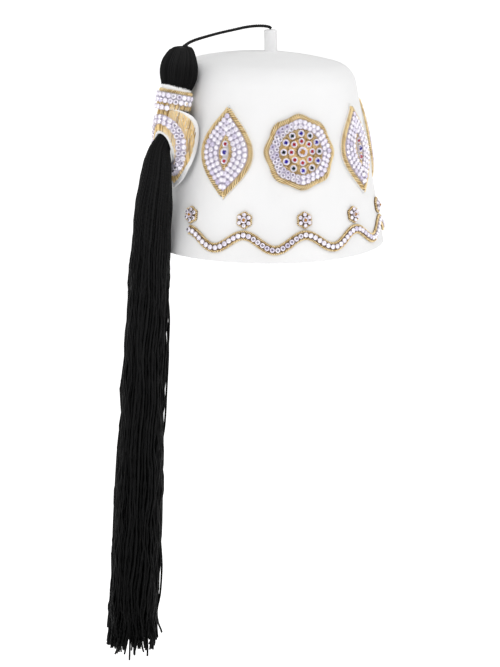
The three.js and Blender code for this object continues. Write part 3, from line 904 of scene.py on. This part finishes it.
# Lengths here are shares of the cup's radius
setting = {
    "glass": 0.9,
    "colouredGlass": 0.58,
    "table": 0.57,  # as a share of the glass
    "glassDepth": 0.4,
    "glassMiddle": 1.0,
    "sides": 8,
    "cupSides": 12,
    "cupFoot": 0.74,
    "cupDepth": 0.84,
    "cupMiddle": 0.43,
    "lip": 0.98,
    "sunk": 0.12,  # how far the cup's floor lies under its lip
    "prongs": 4,
    "prong": (0.1, 0.16, 0.36),
    "prongLean": math.radians(-34),
    "prongHeight": 0.92,
    "prongReach": 0.97,  # as a share of the glass
    "tilt": 0.055,
    "spin": 0.78,  # stones are turned at random, by up to an eighth of a turn
}


def stoneTemplate(reach):
    # reach is the glass's radius
    bm = bmesh.new()
    tableReach = setting["table"] * reach
    cut = bmesh.ops.create_cone(bm, segments=setting["sides"], radius1=reach, radius2=tableReach,
                                depth=setting["glassDepth"], cap_ends=True)["verts"]
    table = [vert for vert in cut if vert.co.z > 0]
    halfStep = Matrix.Rotation(math.pi / setting["sides"], 3, "Z")
    bmesh.ops.rotate(bm, verts=table, cent=(0, 0, 0), matrix=halfStep)
    bmesh.ops.triangulate(bm, faces=[face for face in bm.faces if len(face.verts) == 4])
    bmesh.ops.translate(bm, verts=cut, vec=(0, 0, setting["glassMiddle"]))
    stone = list(bm.faces)
    cup = bmesh.ops.create_cone(bm, segments=setting["cupSides"], radius1=setting["cupFoot"], radius2=1,
                                depth=setting["cupDepth"], cap_ends=True)["verts"]
    bmesh.ops.translate(bm, verts=cup, vec=(0, 0, setting["cupMiddle"]))
    roof = [face for face in bm.faces if face not in stone and face.normal.z > 0.9]
    bmesh.ops.inset_region(bm, faces=roof, thickness=setting["lip"] - reach, depth=0)
    bmesh.ops.translate(bm, verts=roof[0].verts, vec=(0, 0, -setting["sunk"]))
    for number in range(setting["prongs"]):
        turn = Matrix.Rotation(math.pi / 2 * number + math.pi / 4, 4, "Z")
        lean = Matrix.Rotation(setting["prongLean"], 4, "Y")
        seat = Matrix.Translation((setting["prongReach"] * reach, 0, setting["prongHeight"]))
        bmesh.ops.create_cube(bm, size=1, matrix=turn @ seat @ lean @ Matrix.Diagonal((*setting["prong"], 1)))
    for face in bm.faces:
        face.material_index = 0
    for face in stone:
        face.material_index = 2 if face.normal.z > 0.9 else 1
    mesh = bpy.data.meshes.new("stone")
    bm.to_mesh(mesh)
    bm.free()
    return mesh


glasses = [cupMetal, lilacGlass, amberGlass, redGlass, blueGlass, greenGlass, lilacTable]
lilac, amber, red, blue, green = range(1, 6)
stoneMeshes = {glass: stoneTemplate(setting["colouredGlass"]) for glass in (amber, red, blue, green)}
stoneMeshes[lilac] = stoneTemplate(setting["glass"])
onBed, onGold = 0.3, 0.2  # how far a stone's foot stands over the ground


def setStones(spots, wrap):
    # spots are rows of x, y, base lift, radius and material index of the glass
    bm = bmesh.new()
    for x, y, lift, radius, glass in spots:
        foot = wrap(x, y, lift)
        upright = (wrap(x, y, lift + 1) - foot).normalized()
        upright += setting["tilt"] * Vector([dice.uniform(-1, 1) for _ in range(3)])
        turned = upright.to_track_quat("Z", "Y").to_matrix().to_4x4()
        turned @= Matrix.Rotation(dice.uniform(0, setting["spin"]), 4, "Z")
        stone = stoneMeshes[glass].copy()
        parts = (0, glass, glasses.index(lilacTable) if glass == lilac else glass)
        indices = [parts[face.material_index] for face in stone.polygons]
        stone.transform(Matrix.Translation(foot) @ turned @ Matrix.Scale(radius, 4))
        stone.polygons.foreach_set("material_index", indices)
        bm.from_mesh(stone)
        bpy.data.meshes.remove(stone)
    return bm


def rowOfStones(line, pitch, lift, radius, closed=True):
    return [(spot.x, spot.y, lift, radius, lilac) for spot, _ in evenly(line, pitch, closed)]


# Medallions: three pointed ovals, each a white ground in a gold edge, with a bed of stones

medallion = {
    "places": {"left": -42, "right": 42, "side": 84},
    "height": 82,
    "halfWidth": 22,
    "halfHeight": 36,
    "inset": (0.4, 0.7),  # how far its ground keeps inside the pad, at the sides and the tips
    "openWidth": 5.6,
    "openHeight": 15,
    "bedMargin": 4.2,
    "bedTipMargin": 6.3,
    "innerMargin": (2.9, 4.6),
    "border": {"width": 3.9, "height": 1.9, "base": 0.9, "pitch": 1.75, "wire": 0.43, "slant": 3.8},
    "innerBorder": {"width": 3.0, "height": 1.7, "base": 0.9, "pitch": 1.7, "wire": 0.42, "slant": 2.9},
    "ground": 1.5,
    "bed": 0.5,
    "rows": (1 / 6, 1 / 2, 5 / 6),
    "stone": 2.1,
    "pitch": 4.15,
    "middle": [(0, 3.2, blue), (6.4, 2.5, red), (-6.4, 2.5, red)],
}


def bedOf(outer, inner, wrap, lift, thickness, steps):
    # the tinted plate under a field of stones
    bed = plateOf(outer, inner, thickness, steps)
    bmesh.ops.translate(bed, verts=bed.verts, vec=(0, 0, lift))
    wrapMesh(bed, wrap)
    return bed


def groundOf(edge, wrap, thickness, steps):
    ground = plateOf(edge, None, thickness, steps)
    wrapMesh(ground, wrap)
    return ground


def makeMedallion(name, angle):
    size = medallion
    wrap = wallWrap(angle, size["height"])
    width, height = size["halfWidth"], size["halfHeight"]
    openWidth, openHeight = size["openWidth"], size["openHeight"]
    edge = lens(width - size["inset"][0], height - size["inset"][1])
    bedOuter = lens(width - size["bedMargin"], height - size["bedTipMargin"])
    bedInner = lens(openWidth, openHeight)
    innerEdge = lens(openWidth - size["innerMargin"][0], openHeight - size["innerMargin"][1])
    ground = groundOf(edge, wrap, size["ground"], 10)
    bed = bedOf(bedOuter, bedInner, wrap, size["ground"], size["bed"], 4)
    finished(f"medallion_ground_{name}", joined([(ground, 0), (bed, 1)]), [felt, stoneGround],
             [f"medallion_pad_{name}"])
    outerWires, outerCords = bullionRow(between(edge, bedOuter, 0.5), wrap, size["border"])
    innerWires, innerCords = bullionRow(between(bedInner, innerEdge, 0.5), wrap, size["innerBorder"])
    parts = [(outerWires, 0), (outerCords, 1), (innerWires, 0), (innerCords, 1)]
    finished(f"medallion_edge_{name}", joined(parts), [bullion, shadedPadding])
    spots = []
    for share in size["rows"]:
        line = between(bedInner, bedOuter, share)
        spots += rowOfStones(line, size["pitch"], size["ground"] + onBed, size["stone"])
    spots += [(0, up, size["ground"], radius, glass) for up, radius, glass in size["middle"]]
    replaced = [f"medallion_bed_{name}", *(f"medallion_stone_{name}_{k}" for k in (1, 2, 3))]
    finished(f"medallion_stones_{name}", setStones(spots, wrap), glasses, replaced,
             smooth=False)


for medallionName, medallionAngle in medallion["places"].items():
    makeMedallion(medallionName, medallionAngle)
print("medallions done")

# Rosette at the front

rosette = {
    "height": 84,
    "radius": 29,
    "lobes": 8,
    "lobeDepth": 1.8,
    "inset": 0.4,
    "openRadius": 17.3,
    "bedMargin": 4.2,
    "border": medallion["border"],
    "thinBorder": {"width": 1.7, "height": 1.2, "base": 1.2, "pitch": 1.5, "wire": 0.36, "slant": 1.6},
    "thinBorderInset": 0.6,
    "ground": 1.5,
    "bed": 0.5,
    "rows": (0.26, 0.76),
    "stone": 2.0,
    "pitch": 3.95,
    "middle": 4.0,
    "rings": [
        {"name": "inner", "count": 8, "reach": 8.2, "radius": 2.5, "glasses": (red, red)},
        {"name": "outer", "count": 12, "reach": 14, "radius": 2.7, "glasses": (blue, green)},
    ],
    "rays": {
        "count": 150,
        "runs": ((3.4, 10.6), (10.2, 16.6)),
        "bends": (0, 0.33, 0.66, 1),
        "lifts": (1.55, 1.85, 1.85, 1.55),
        "thread": 0.24,
    },
}


def rosetteRays(wrap):
    # satin stitches that run out from the middle under the coloured stones
    rays = rosette["rays"]
    lines = []
    for number in range(rays["count"]):
        turn = 2 * math.pi * number / rays["count"]
        for low, high in rays["runs"]:
            start = low + dice.uniform(0, 0.5)
            end = high - dice.uniform(0, 0.4)
            reaches = [start + (end - start) * share for share in rays["bends"]]
            lines.append([wrap(reach * math.sin(turn), reach * math.cos(turn), lift + dice.uniform(0, 0.15))
                          for reach, lift in zip(reaches, rays["lifts"])])
    return threadMesh(lines, rays["thread"])


def makeRosette():
    size = rosette
    wrap = wallWrap(0, size["height"])
    edge = lobed(size["radius"] - size["inset"], size["lobes"], size["lobeDepth"])
    bedOuter = lobed(size["radius"] - size["bedMargin"], size["lobes"], size["lobeDepth"])
    opening = lobed(size["openRadius"])
    ground = groundOf(edge, wrap, size["ground"], 12)
    bed = bedOf(bedOuter, opening, wrap, size["ground"], size["bed"], 3)
    # the rosette's ground takes the dark padding tint, painted shade between the rays and stones
    finished("rosette_ground", joined([(ground, 0), (bed, 1)]), [shadedPadding, stoneGround],
             ["rosette_pad"])
    wires, cords = bullionRow(between(edge, bedOuter, 0.5), wrap, size["border"])
    thinLine = lobed(size["openRadius"] - size["thinBorderInset"])
    thinWires, thinCords = bullionRow(thinLine, wrap, size["thinBorder"])
    parts = [(wires, 0), (cords, 1), (thinWires, 0), (thinCords, 1), (rosetteRays(wrap), 2)]
    finished("rosette_gold", joined(parts), [bullion, shadedPadding, longStitch])
    spots = []
    for share in size["rows"]:
        line = between(opening, bedOuter, share)
        spots += rowOfStones(line, size["pitch"], size["ground"] + onBed, size["stone"])
    finished("rosette_stones", setStones(spots, wrap), glasses, ["rosette_bed"], smooth=False)
    spots = [(0, 0, size["ground"] + onGold, size["middle"], amber)]
    replaced = ["rosette_stone_centre"]
    for ring in size["rings"]:
        for number in range(ring["count"]):
            turn = 2 * math.pi * number / ring["count"]
            place = (ring["reach"] * math.sin(turn), ring["reach"] * math.cos(turn))
            spots.append((*place, size["ground"] + onGold, ring["radius"], ring["glasses"][number % 2]))
            replaced.append(f"rosette_stone_{ring['name']}_{number + 1}")
    finished("rosette_colours", setStones(spots, wrap), glasses, replaced, smooth=False)


makeRosette()
print("rosette done")

# Garland and its flowers near the rim

garland = {
    "from": -60,
    "to": 90,
    "count": 5,
    "top": 21.2,
    "drop": 11,
    "width": 7.0,
    "inset": 0.3,
    "steps": 40,
    "ground": 1.0,
    "stone": 2.05,
    "pitch": 4.25,
    "border": {"width": 1.5, "height": 1.15, "base": 0.5, "pitch": 1.45, "wire": 0.36, "slant": 1.4},
}
flower = {
    "height": 32.5,
    "radius": 6.6,
    "lobes": 6,
    "lobeDepth": 0.8,
    "inset": 0.2,
    "borderInset": 0.65,
    "ground": 1.3,
    "middle": 2.5,
    "petal": 1.6,
    "petalReach": 4.15,
    "border": {"width": 1.2, "height": 1.0, "base": 0.7, "pitch": 1.35, "wire": 0.34, "slant": 1.1},
}


def garlandLine(offset):
    # the garland laid flat: x along the rim and y above it, shifted sideways by an offset
    points = []
    total = garland["count"] * garland["steps"]
    length = math.radians(garland["to"] - garland["from"]) * hat["rim"]
    for step in range(total + 1):
        turn = 2 * math.pi * step / garland["steps"]
        x = math.radians(garland["from"]) * hat["rim"] + length * step / total
        y = garland["top"] - garland["drop"] * (1 - math.cos(turn)) / 2
        slope = -garland["drop"] * math.sin(turn) / 2 * 2 * math.pi * garland["count"] / length
        away = Vector((-slope, 1)).normalized()
        points.append(Vector((x, y)) + away * offset)
    return points


def rimWrap(x, y, z):
    return onWall(math.degrees(x / hat["rim"]), y, z)


def makeGarland():
    size = garland
    half = size["width"] / 2
    low, high = garlandLine(-half + size["inset"]), garlandLine(half - size["inset"])
    bm = bmesh.new()
    rows = [[bm.verts.new((*point, 0)) for point in line] for line in (low, high)]
    for i in range(len(low) - 1):
        bm.faces.new((rows[0][i], rows[0][i + 1], rows[1][i + 1], rows[1][i]))
    grown = bmesh.ops.extrude_face_region(bm, geom=list(bm.faces), use_keep_orig=True)["geom"]
    top = [part for part in grown if isinstance(part, bmesh.types.BMVert)]
    bmesh.ops.translate(bm, verts=top, vec=(0, 0, size["ground"]))
    wrapMesh(bm, rimWrap)
    parts = [(bm, 1)]
    borderOffset = half - size["border"]["width"] / 2
    for offset in (-borderOffset, borderOffset):
        wires, cords = bullionRow(garlandLine(offset), rimWrap, size["border"], closed=False)
        parts += [(wires, 0), (cords, 1)]
    finished("garland_gold", joined(parts), [bullion, shadedPadding])
    spots = rowOfStones(garlandLine(0), size["pitch"], size["ground"] - 0.1, size["stone"], closed=False)
    finished("garland_stones", setStones(spots, rimWrap), glasses, ["garland"], smooth=False)


def makeFlower(number):
    size = flower
    angle = garland["from"] + (garland["to"] - garland["from"]) * number / garland["count"]
    wrap = wallWrap(angle, size["height"])
    insets = (size["inset"], size["borderInset"])
    edge, borderLine = (lobed(size["radius"] - inset, size["lobes"], size["lobeDepth"], count=48)
                        for inset in insets)
    ground = groundOf(edge, wrap, size["ground"], 3)
    wires, cords = bullionRow(borderLine, wrap, size["border"])
    parts = [(ground, 1), (wires, 0), (cords, 1)]
    finished(f"flower_gold_{number + 1}", joined(parts), [bullion, shadedPadding],
             [f"flower_{number + 1}"])
    spots = [(0, 0, size["ground"] + onGold, size["middle"], amber)]
    for petal in range(size["lobes"]):
        turn = 2 * math.pi * petal / size["lobes"]
        place = (size["petalReach"] * math.sin(turn), size["petalReach"] * math.cos(turn))
        spots.append((*place, size["ground"], size["petal"], lilac))
    finished(f"flower_stones_{number + 1}", setStones(spots, wrap), glasses,
             [f"flower_stone_{number + 1}"], smooth=False)


makeGarland()
for flowerNumber in range(garland["count"] + 1):
    makeFlower(flowerNumber)
print("garland and flowers done")

# Cuff round the tassel's neck: x goes round it, y up it and z away from its felt

cuff = {
    "low": 108.4,
    "high": 127.0,
    "lip": 1.7,  # how far the low edge comes down in front
    "radius": 12.7,
    "taper": 0.9,  # how much narrower the top is
    "taperFrom": 115,
    "wall": 1.1,
    "waist": 0.35,
    "lift": 15.0,
    "stoneRows": (118.1, 114.2),
    "lowRow": 108.8,
    "stone": 2.2,
    "stoneLift": 0.1,
    "pitch": 4.4,
    "reach": math.radians(122),
    "lowReach": math.radians(36),
    "stitch": 0.4,
    "stitchBand": (108.9, 113.6),
    "stitchPitch": 1.0,
    "stitchLifts": (-0.3, 0.2, 0.38, 0.2, -0.3),
    "closeness": 0.86,  # of the stones in a row, which touch and overlap a little
    "border": {"width": 2.2, "height": 0.75, "base": -0.2, "pitch": 1.6, "wire": 0.4, "slant": 2.0},
    "borderHeight": 121.5,
}
stitchBends = (0, 0.25, 0.5, 0.75, 1)  # shares of a long stitch's length
tasselDegrees = math.degrees(tassel["angle"])


def ragged():
    # how far the end of a long stitch runs over
    return dice.uniform(0, 0.4)


def onCuff(x, y, z):
    turn = x / cuff["radius"]
    narrowed = clamped((y - cuff["taperFrom"]) / (cuff["high"] - cuff["taperFrom"]))
    reach = cuff["radius"] + z - cuff["taper"] * narrowed
    return onWall(tasselDegrees, y, cuff["lift"] + reach * math.cos(turn)) + sideways * reach * math.sin(turn)


def cuffLip(turn):
    # how far the low edge comes down at an angle from the front
    return cuff["lip"] * max(math.cos(turn), 0) ** 3


def cuffSleeve():
    radius, wall = cuff["radius"], cuff["wall"]
    low, high = cuff["low"], cuff["high"]
    edge = wall / 2
    outside = [(radius - cuff["waist"], height) for height in (low + 2.6, high - 2.6)]
    profile = [
        *arcPoints((radius - edge, low + edge), edge, -math.pi / 2, 0, 4),
        (radius, low + 1.6), *outside, (radius, high - 1.8),
        *arcPoints((radius - edge, high - edge), edge, 0, math.pi, 8),
        *arcPoints((radius - edge, low + edge), edge, math.pi, 1.5 * math.pi, 4),
    ]
    bm = spun(profile, 96)
    for vert in bm.verts:
        reach = math.hypot(vert.co.x, vert.co.y)
        turn = math.atan2(vert.co.y, vert.co.x)
        lowered = cuffLip(turn) * (high - vert.co.z) / (high - low)
        vert.co = onCuff(turn * radius, vert.co.z - lowered, reach - radius)
    return bm


def cuffStitches():
    lines = []
    low, high = cuff["stitchBand"]
    count = int(2 * math.pi * cuff["radius"] / cuff["stitchPitch"])
    for number in range(count):
        x = 2 * math.pi * cuff["radius"] * (number + dice.uniform(-0.3, 0.3)) / count
        slant = 0.6 + dice.uniform(-0.5, 0.5)
        start = low - cuffLip(x / cuff["radius"]) - ragged()
        end = high + ragged()
        lines.append([onCuff(x + slant * share, start + (end - start) * share, lift + dice.uniform(0, 0.12))
                      for share, lift in zip(stitchBends, cuff["stitchLifts"])])
    return threadMesh(lines, cuff["stitch"])


def makeCuff():
    finished("cuff_felt", cuffSleeve(), [felt], ["tassel_cuff"])
    girth = 2 * math.pi * cuff["radius"]
    circle = [Vector((girth * k / 96, cuff["borderHeight"])) for k in range(97)]
    wires, cords = bullionRow(circle, onCuff, cuff["border"], closed=False)
    parts = [(cuffStitches(), 0), (wires, 1), (cords, 2)]
    finished("cuff_stitches", joined(parts), [longStitch, bullion, shadedPadding])
    rows = {
        "cuff_rows": [(height, cuff["reach"]) for height in cuff["stoneRows"]],
        "cuff_low_row": [(cuff["lowRow"], cuff["lowReach"])],
    }
    for name, places in rows.items():
        spots = []
        for number, (height, reach) in enumerate(places):
            around = reach * cuff["radius"] - number * cuff["pitch"] * cuff["closeness"] / 2
            line = [Vector((-around, height)), Vector((around, height))]
            pitch = cuff["pitch"] * cuff["closeness"]
            spots += rowOfStones(line, pitch, cuff["stoneLift"], cuff["stone"], closed=False)
        finished(f"{name}_stones", setStones(spots, onCuff), glasses, [name], smooth=False)


makeCuff()
print("cuff done")

# Ring arched over the tassel: x across it, y up the wall and z away from its back

ring = {
    "height": 79.6,
    "halfWidth": 31.3,
    "halfHeight": 29.2,
    "fullAbove": 0.52,
    "fullBelow": 2.1,
    "topHeavy": 0.2,
    "thickness": 2.2,
    "rounding": 0.7,
    "gap": 0.35,
    "openHeight": 78.0,
    "openHalfWidth": 10,
    "openHalfHeight": 10.9,
    "archHalfWidth": 17.6,
    "archDeveloped": 33.0,
    "archRise": 21.8,
    "archLow": 2.5,
    "archFrom": 53.0,
    "archTo": 84.0,
    "outerRow": (81.0, 19.4, 20.4),  # height, half width and half height
    "innerRow": (81.5, 15.8, 16.5),
    "rowMargin": 2.0,
    "outerRowEnd": 64.5,  # the outer row is left out lower down, behind the skirt
    "outerEdge": 2.9,
    "innerEdge": 2.2,
    "bed": 0.4,
    "bedLift": 0.1,
    "stoneLift": 0.5,
    "stitchTo": (0.2, 0.85),  # shares of the stones' band where the stitches in and out of it end
    "stone": 2.15,
    "pitch": 4.35,
    "stitch": 0.42,
    "stitchPitch": 1.0,
    "stitchLengths": (6, 11),
    "stitchRises": (-0.15, 0.25, 0.4, 0.25, -0.1),
    "overlap": 0.3,
    "shortest": 2.5,
    "fan": 0.05,
    "fanFrom": 80,  # the height at which the stitches stand upright
}


def onRing(x, y, z):
    turn = x / ring["archDeveloped"] * math.pi / 2
    t = clamped((y - ring["archFrom"]) / (ring["archTo"] - ring["archFrom"]))
    rise = t * t * (3 - 2 * t) * (ring["archRise"] - ring["archLow"]) + ring["archLow"]
    away = Vector((math.sin(turn) / ring["archHalfWidth"], math.cos(turn) / rise)).normalized()
    along = ring["archHalfWidth"] * math.sin(turn) + z * away.x
    lift = ring["gap"] + ring["thickness"] + rise * math.cos(turn) + (z - ring["thickness"]) * away.y
    return onWall(tasselDegrees + math.degrees(along / wallRadius(ring["height"])), y, lift)


def ringEdge(inset=0.0, count=120):
    # the inset leaves a felt border, widest at the sides, which runs out under the cuff
    loop = []
    for number in range(count):
        turn = 2 * math.pi * number / count
        shrink = inset * (1 + 0.5 * math.sin(turn) ** 2)
        shrink *= 1 - 0.75 * math.exp(-(math.remainder(turn, 2 * math.pi) / 0.3) ** 2)
        full = ring["fullAbove"] if math.cos(turn) > 0 else ring["fullBelow"]
        side = math.copysign(abs(math.sin(turn)) ** full, math.sin(turn))
        halfWidth = (ring["halfWidth"] - shrink) * (1 + ring["topHeavy"] * math.cos(turn))
        height = ring["height"] + (ring["halfHeight"] - shrink) * math.cos(turn)
        loop.append(Vector((halfWidth * side, height)))
    return loop


def crossings(outline, x):
    # heights at which an upright line at x cuts a closed outline
    heights = []
    for a, b in zip(outline, outline[1:] + outline[:1]):
        if (a.x > x) != (b.x > x):
            heights.append(a.y + (b.y - a.y) * (x - a.x) / (b.x - a.x))
    return sorted(heights)


def ringStitches(outline, hole):
    # upright gold stitches between an outline and the hole in it, long runs in several lengths
    lines = []
    reach = max(point.x for point in outline)
    count = int(2 * reach / ring["stitchPitch"])
    for number in range(count):
        x = -reach + 2 * reach * (number + 0.5) / count
        heights = sorted(crossings(outline, x) + crossings(hole, x))
        for bottom, top in zip(heights[::2], heights[1::2]):
            at = bottom - ragged()
            while top - at > 0.6:
                end = min(at + dice.uniform(*ring["stitchLengths"]), top + ragged())
                if top - end < ring["shortest"]:
                    end = top + ragged()
                aslant = ring["fan"] * (at + end - 2 * ring["fanFrom"]) / 2 * x / reach
                lifts = [ring["thickness"] + rise + dice.uniform(-0.08, 0.12) for rise in ring["stitchRises"]]
                lines.append([onRing(x + aslant * (share - 0.5) + dice.uniform(-0.1, 0.1),
                                     at + (end - at) * share, lift)
                              for share, lift in zip(stitchBends, lifts)])
                at = end - ring["overlap"]
    return threadMesh(lines, ring["stitch"])


def makeRing():
    size = ring
    opening = oval(size["openHeight"], size["openHalfWidth"], size["openHalfHeight"])
    plate = plateOf(ringEdge(), opening, size["thickness"], 10, rounding=size["rounding"])
    wrapMesh(plate, onRing)
    finished("ring_felt", plate, [felt], ["tassel_ring"])
    outerRow, innerRow = oval(*size["outerRow"]), oval(*size["innerRow"])
    middle = size["innerRow"][0]
    for point in innerRow:
        if point.y <= middle:
            # the lower half is drawn out to the outer row's length
            point.y = middle + (point.y - middle) * size["outerRow"][2] / size["innerRow"][2]
    margin = size["rowMargin"]
    rowsOuter = oval(size["outerRow"][0], *[half + margin for half in size["outerRow"][1:]])
    rowsInner = oval(size["innerRow"][0], *[half - margin for half in size["innerRow"][1:]])
    edge = size["innerEdge"]
    innerEdge = oval(size["openHeight"], size["openHalfWidth"] + edge, size["openHalfHeight"] + edge)
    innerEnd, outerEnd = (between(rowsInner, rowsOuter, share) for share in size["stitchTo"])
    outerStitches = ringStitches(ringEdge(size["outerEdge"]), outerEnd)
    innerStitches = ringStitches(innerEnd, innerEdge)
    bed = bedOf(rowsOuter, rowsInner, onRing, size["thickness"] + size["bedLift"], size["bed"], 3)
    parts = [(outerStitches, 0), (innerStitches, 0), (bed, 1)]
    finished("ring_stitches", joined(parts), [longStitch, stoneGround])
    lift = size["thickness"] + size["stoneLift"]
    spots = rowOfStones(innerRow, size["pitch"], lift, size["stone"])
    spots += [spot for spot in rowOfStones(outerRow, size["pitch"], lift, size["stone"])
              if spot[1] > size["outerRowEnd"]]
    finished("ring_stones", setStones(spots, onRing), glasses, ["ring_rows"], smooth=False)


makeRing()
print("ring done")
for stoneMesh in stoneMeshes.values():
    bpy.data.meshes.remove(stoneMesh)

# Floor and light


def whiteRoom():
    # white low down and pale above, with a dark opening behind the camera
    world = bpy.data.worlds.new("room")
    bpy.context.scene.world = world
    world.use_nodes = True
    tree = world.node_tree
    place = addNode(tree, "ShaderNodeTexCoord")
    facing = addNode(tree, "ShaderNodeVectorMath", {"operation": "DOT_PRODUCT"})
    facing.inputs[1].default_value = Vector(studio["opening"]).normalized()
    tree.links.new(place.outputs["Generated"], facing.inputs[0])
    parts = addNode(tree, "ShaderNodeSeparateXYZ")
    tree.links.new(place.outputs["Generated"], parts.inputs[0])
    white = (1, 1, 1)
    openingStops = list(zip(studio["openingEdge"], (white, studio["openingTone"])))
    heightStops = list(zip(studio["paleFrom"], (white, studio["paleTone"])))
    opening = ramp(tree, facing.outputs["Value"], openingStops)
    height = ramp(tree, parts.outputs["Z"], heightStops)
    both = addNode(tree, "ShaderNodeVectorMath", {"operation": "MULTIPLY"})
    tree.links.new(opening, both.inputs[0])
    tree.links.new(height, both.inputs[1])
    tree.links.new(both.outputs[0], tree.nodes["Background"].inputs["Color"])
    tree.nodes["Background"].inputs["Strength"].default_value = 1.0


def softLight(name, place, power):
    data = bpy.data.lights.new(name, "AREA")
    data.shape = "DISK"
    data.size = studio["lightSize"]
    data.energy = power
    light = bpy.data.objects.new(name, data)
    light.location = place
    away = Vector(studio["lightAim"]) - Vector(place)
    light.rotation_euler = away.to_track_quat("-Z", "Y").to_euler()
    bpy.context.scene.collection.objects.link(light)


def addFloor():
    bm = bmesh.new()
    bmesh.ops.create_grid(bm, x_segments=8, y_segments=8, size=studio["floorSize"] / 2)
    bmesh.ops.translate(bm, verts=bm.verts, vec=(0, 0, cadLow.z - studio["floorBelow"]))
    mesh = bpy.data.meshes.new("floor")
    bm.to_mesh(mesh)
    bm.free()
    paper, _, shader = newFinish("palePaper", Base_Color=(*studio["floorTone"], 1), Roughness=0.9)
    shader.inputs["Emission Color"].default_value = (1, 1, 1, 1)
    shader.inputs["Emission Strength"].default_value = studio["floorGlow"]
    mesh.materials.append(paper)
    floor = bpy.data.objects.new("floor", mesh)
    bpy.context.scene.collection.objects.link(floor)


whiteRoom()
for lamp in studio["lights"]:
    softLight(**lamp)
addFloor()
bpy.context.scene.view_settings.view_transform = "Standard"
print("studio done")
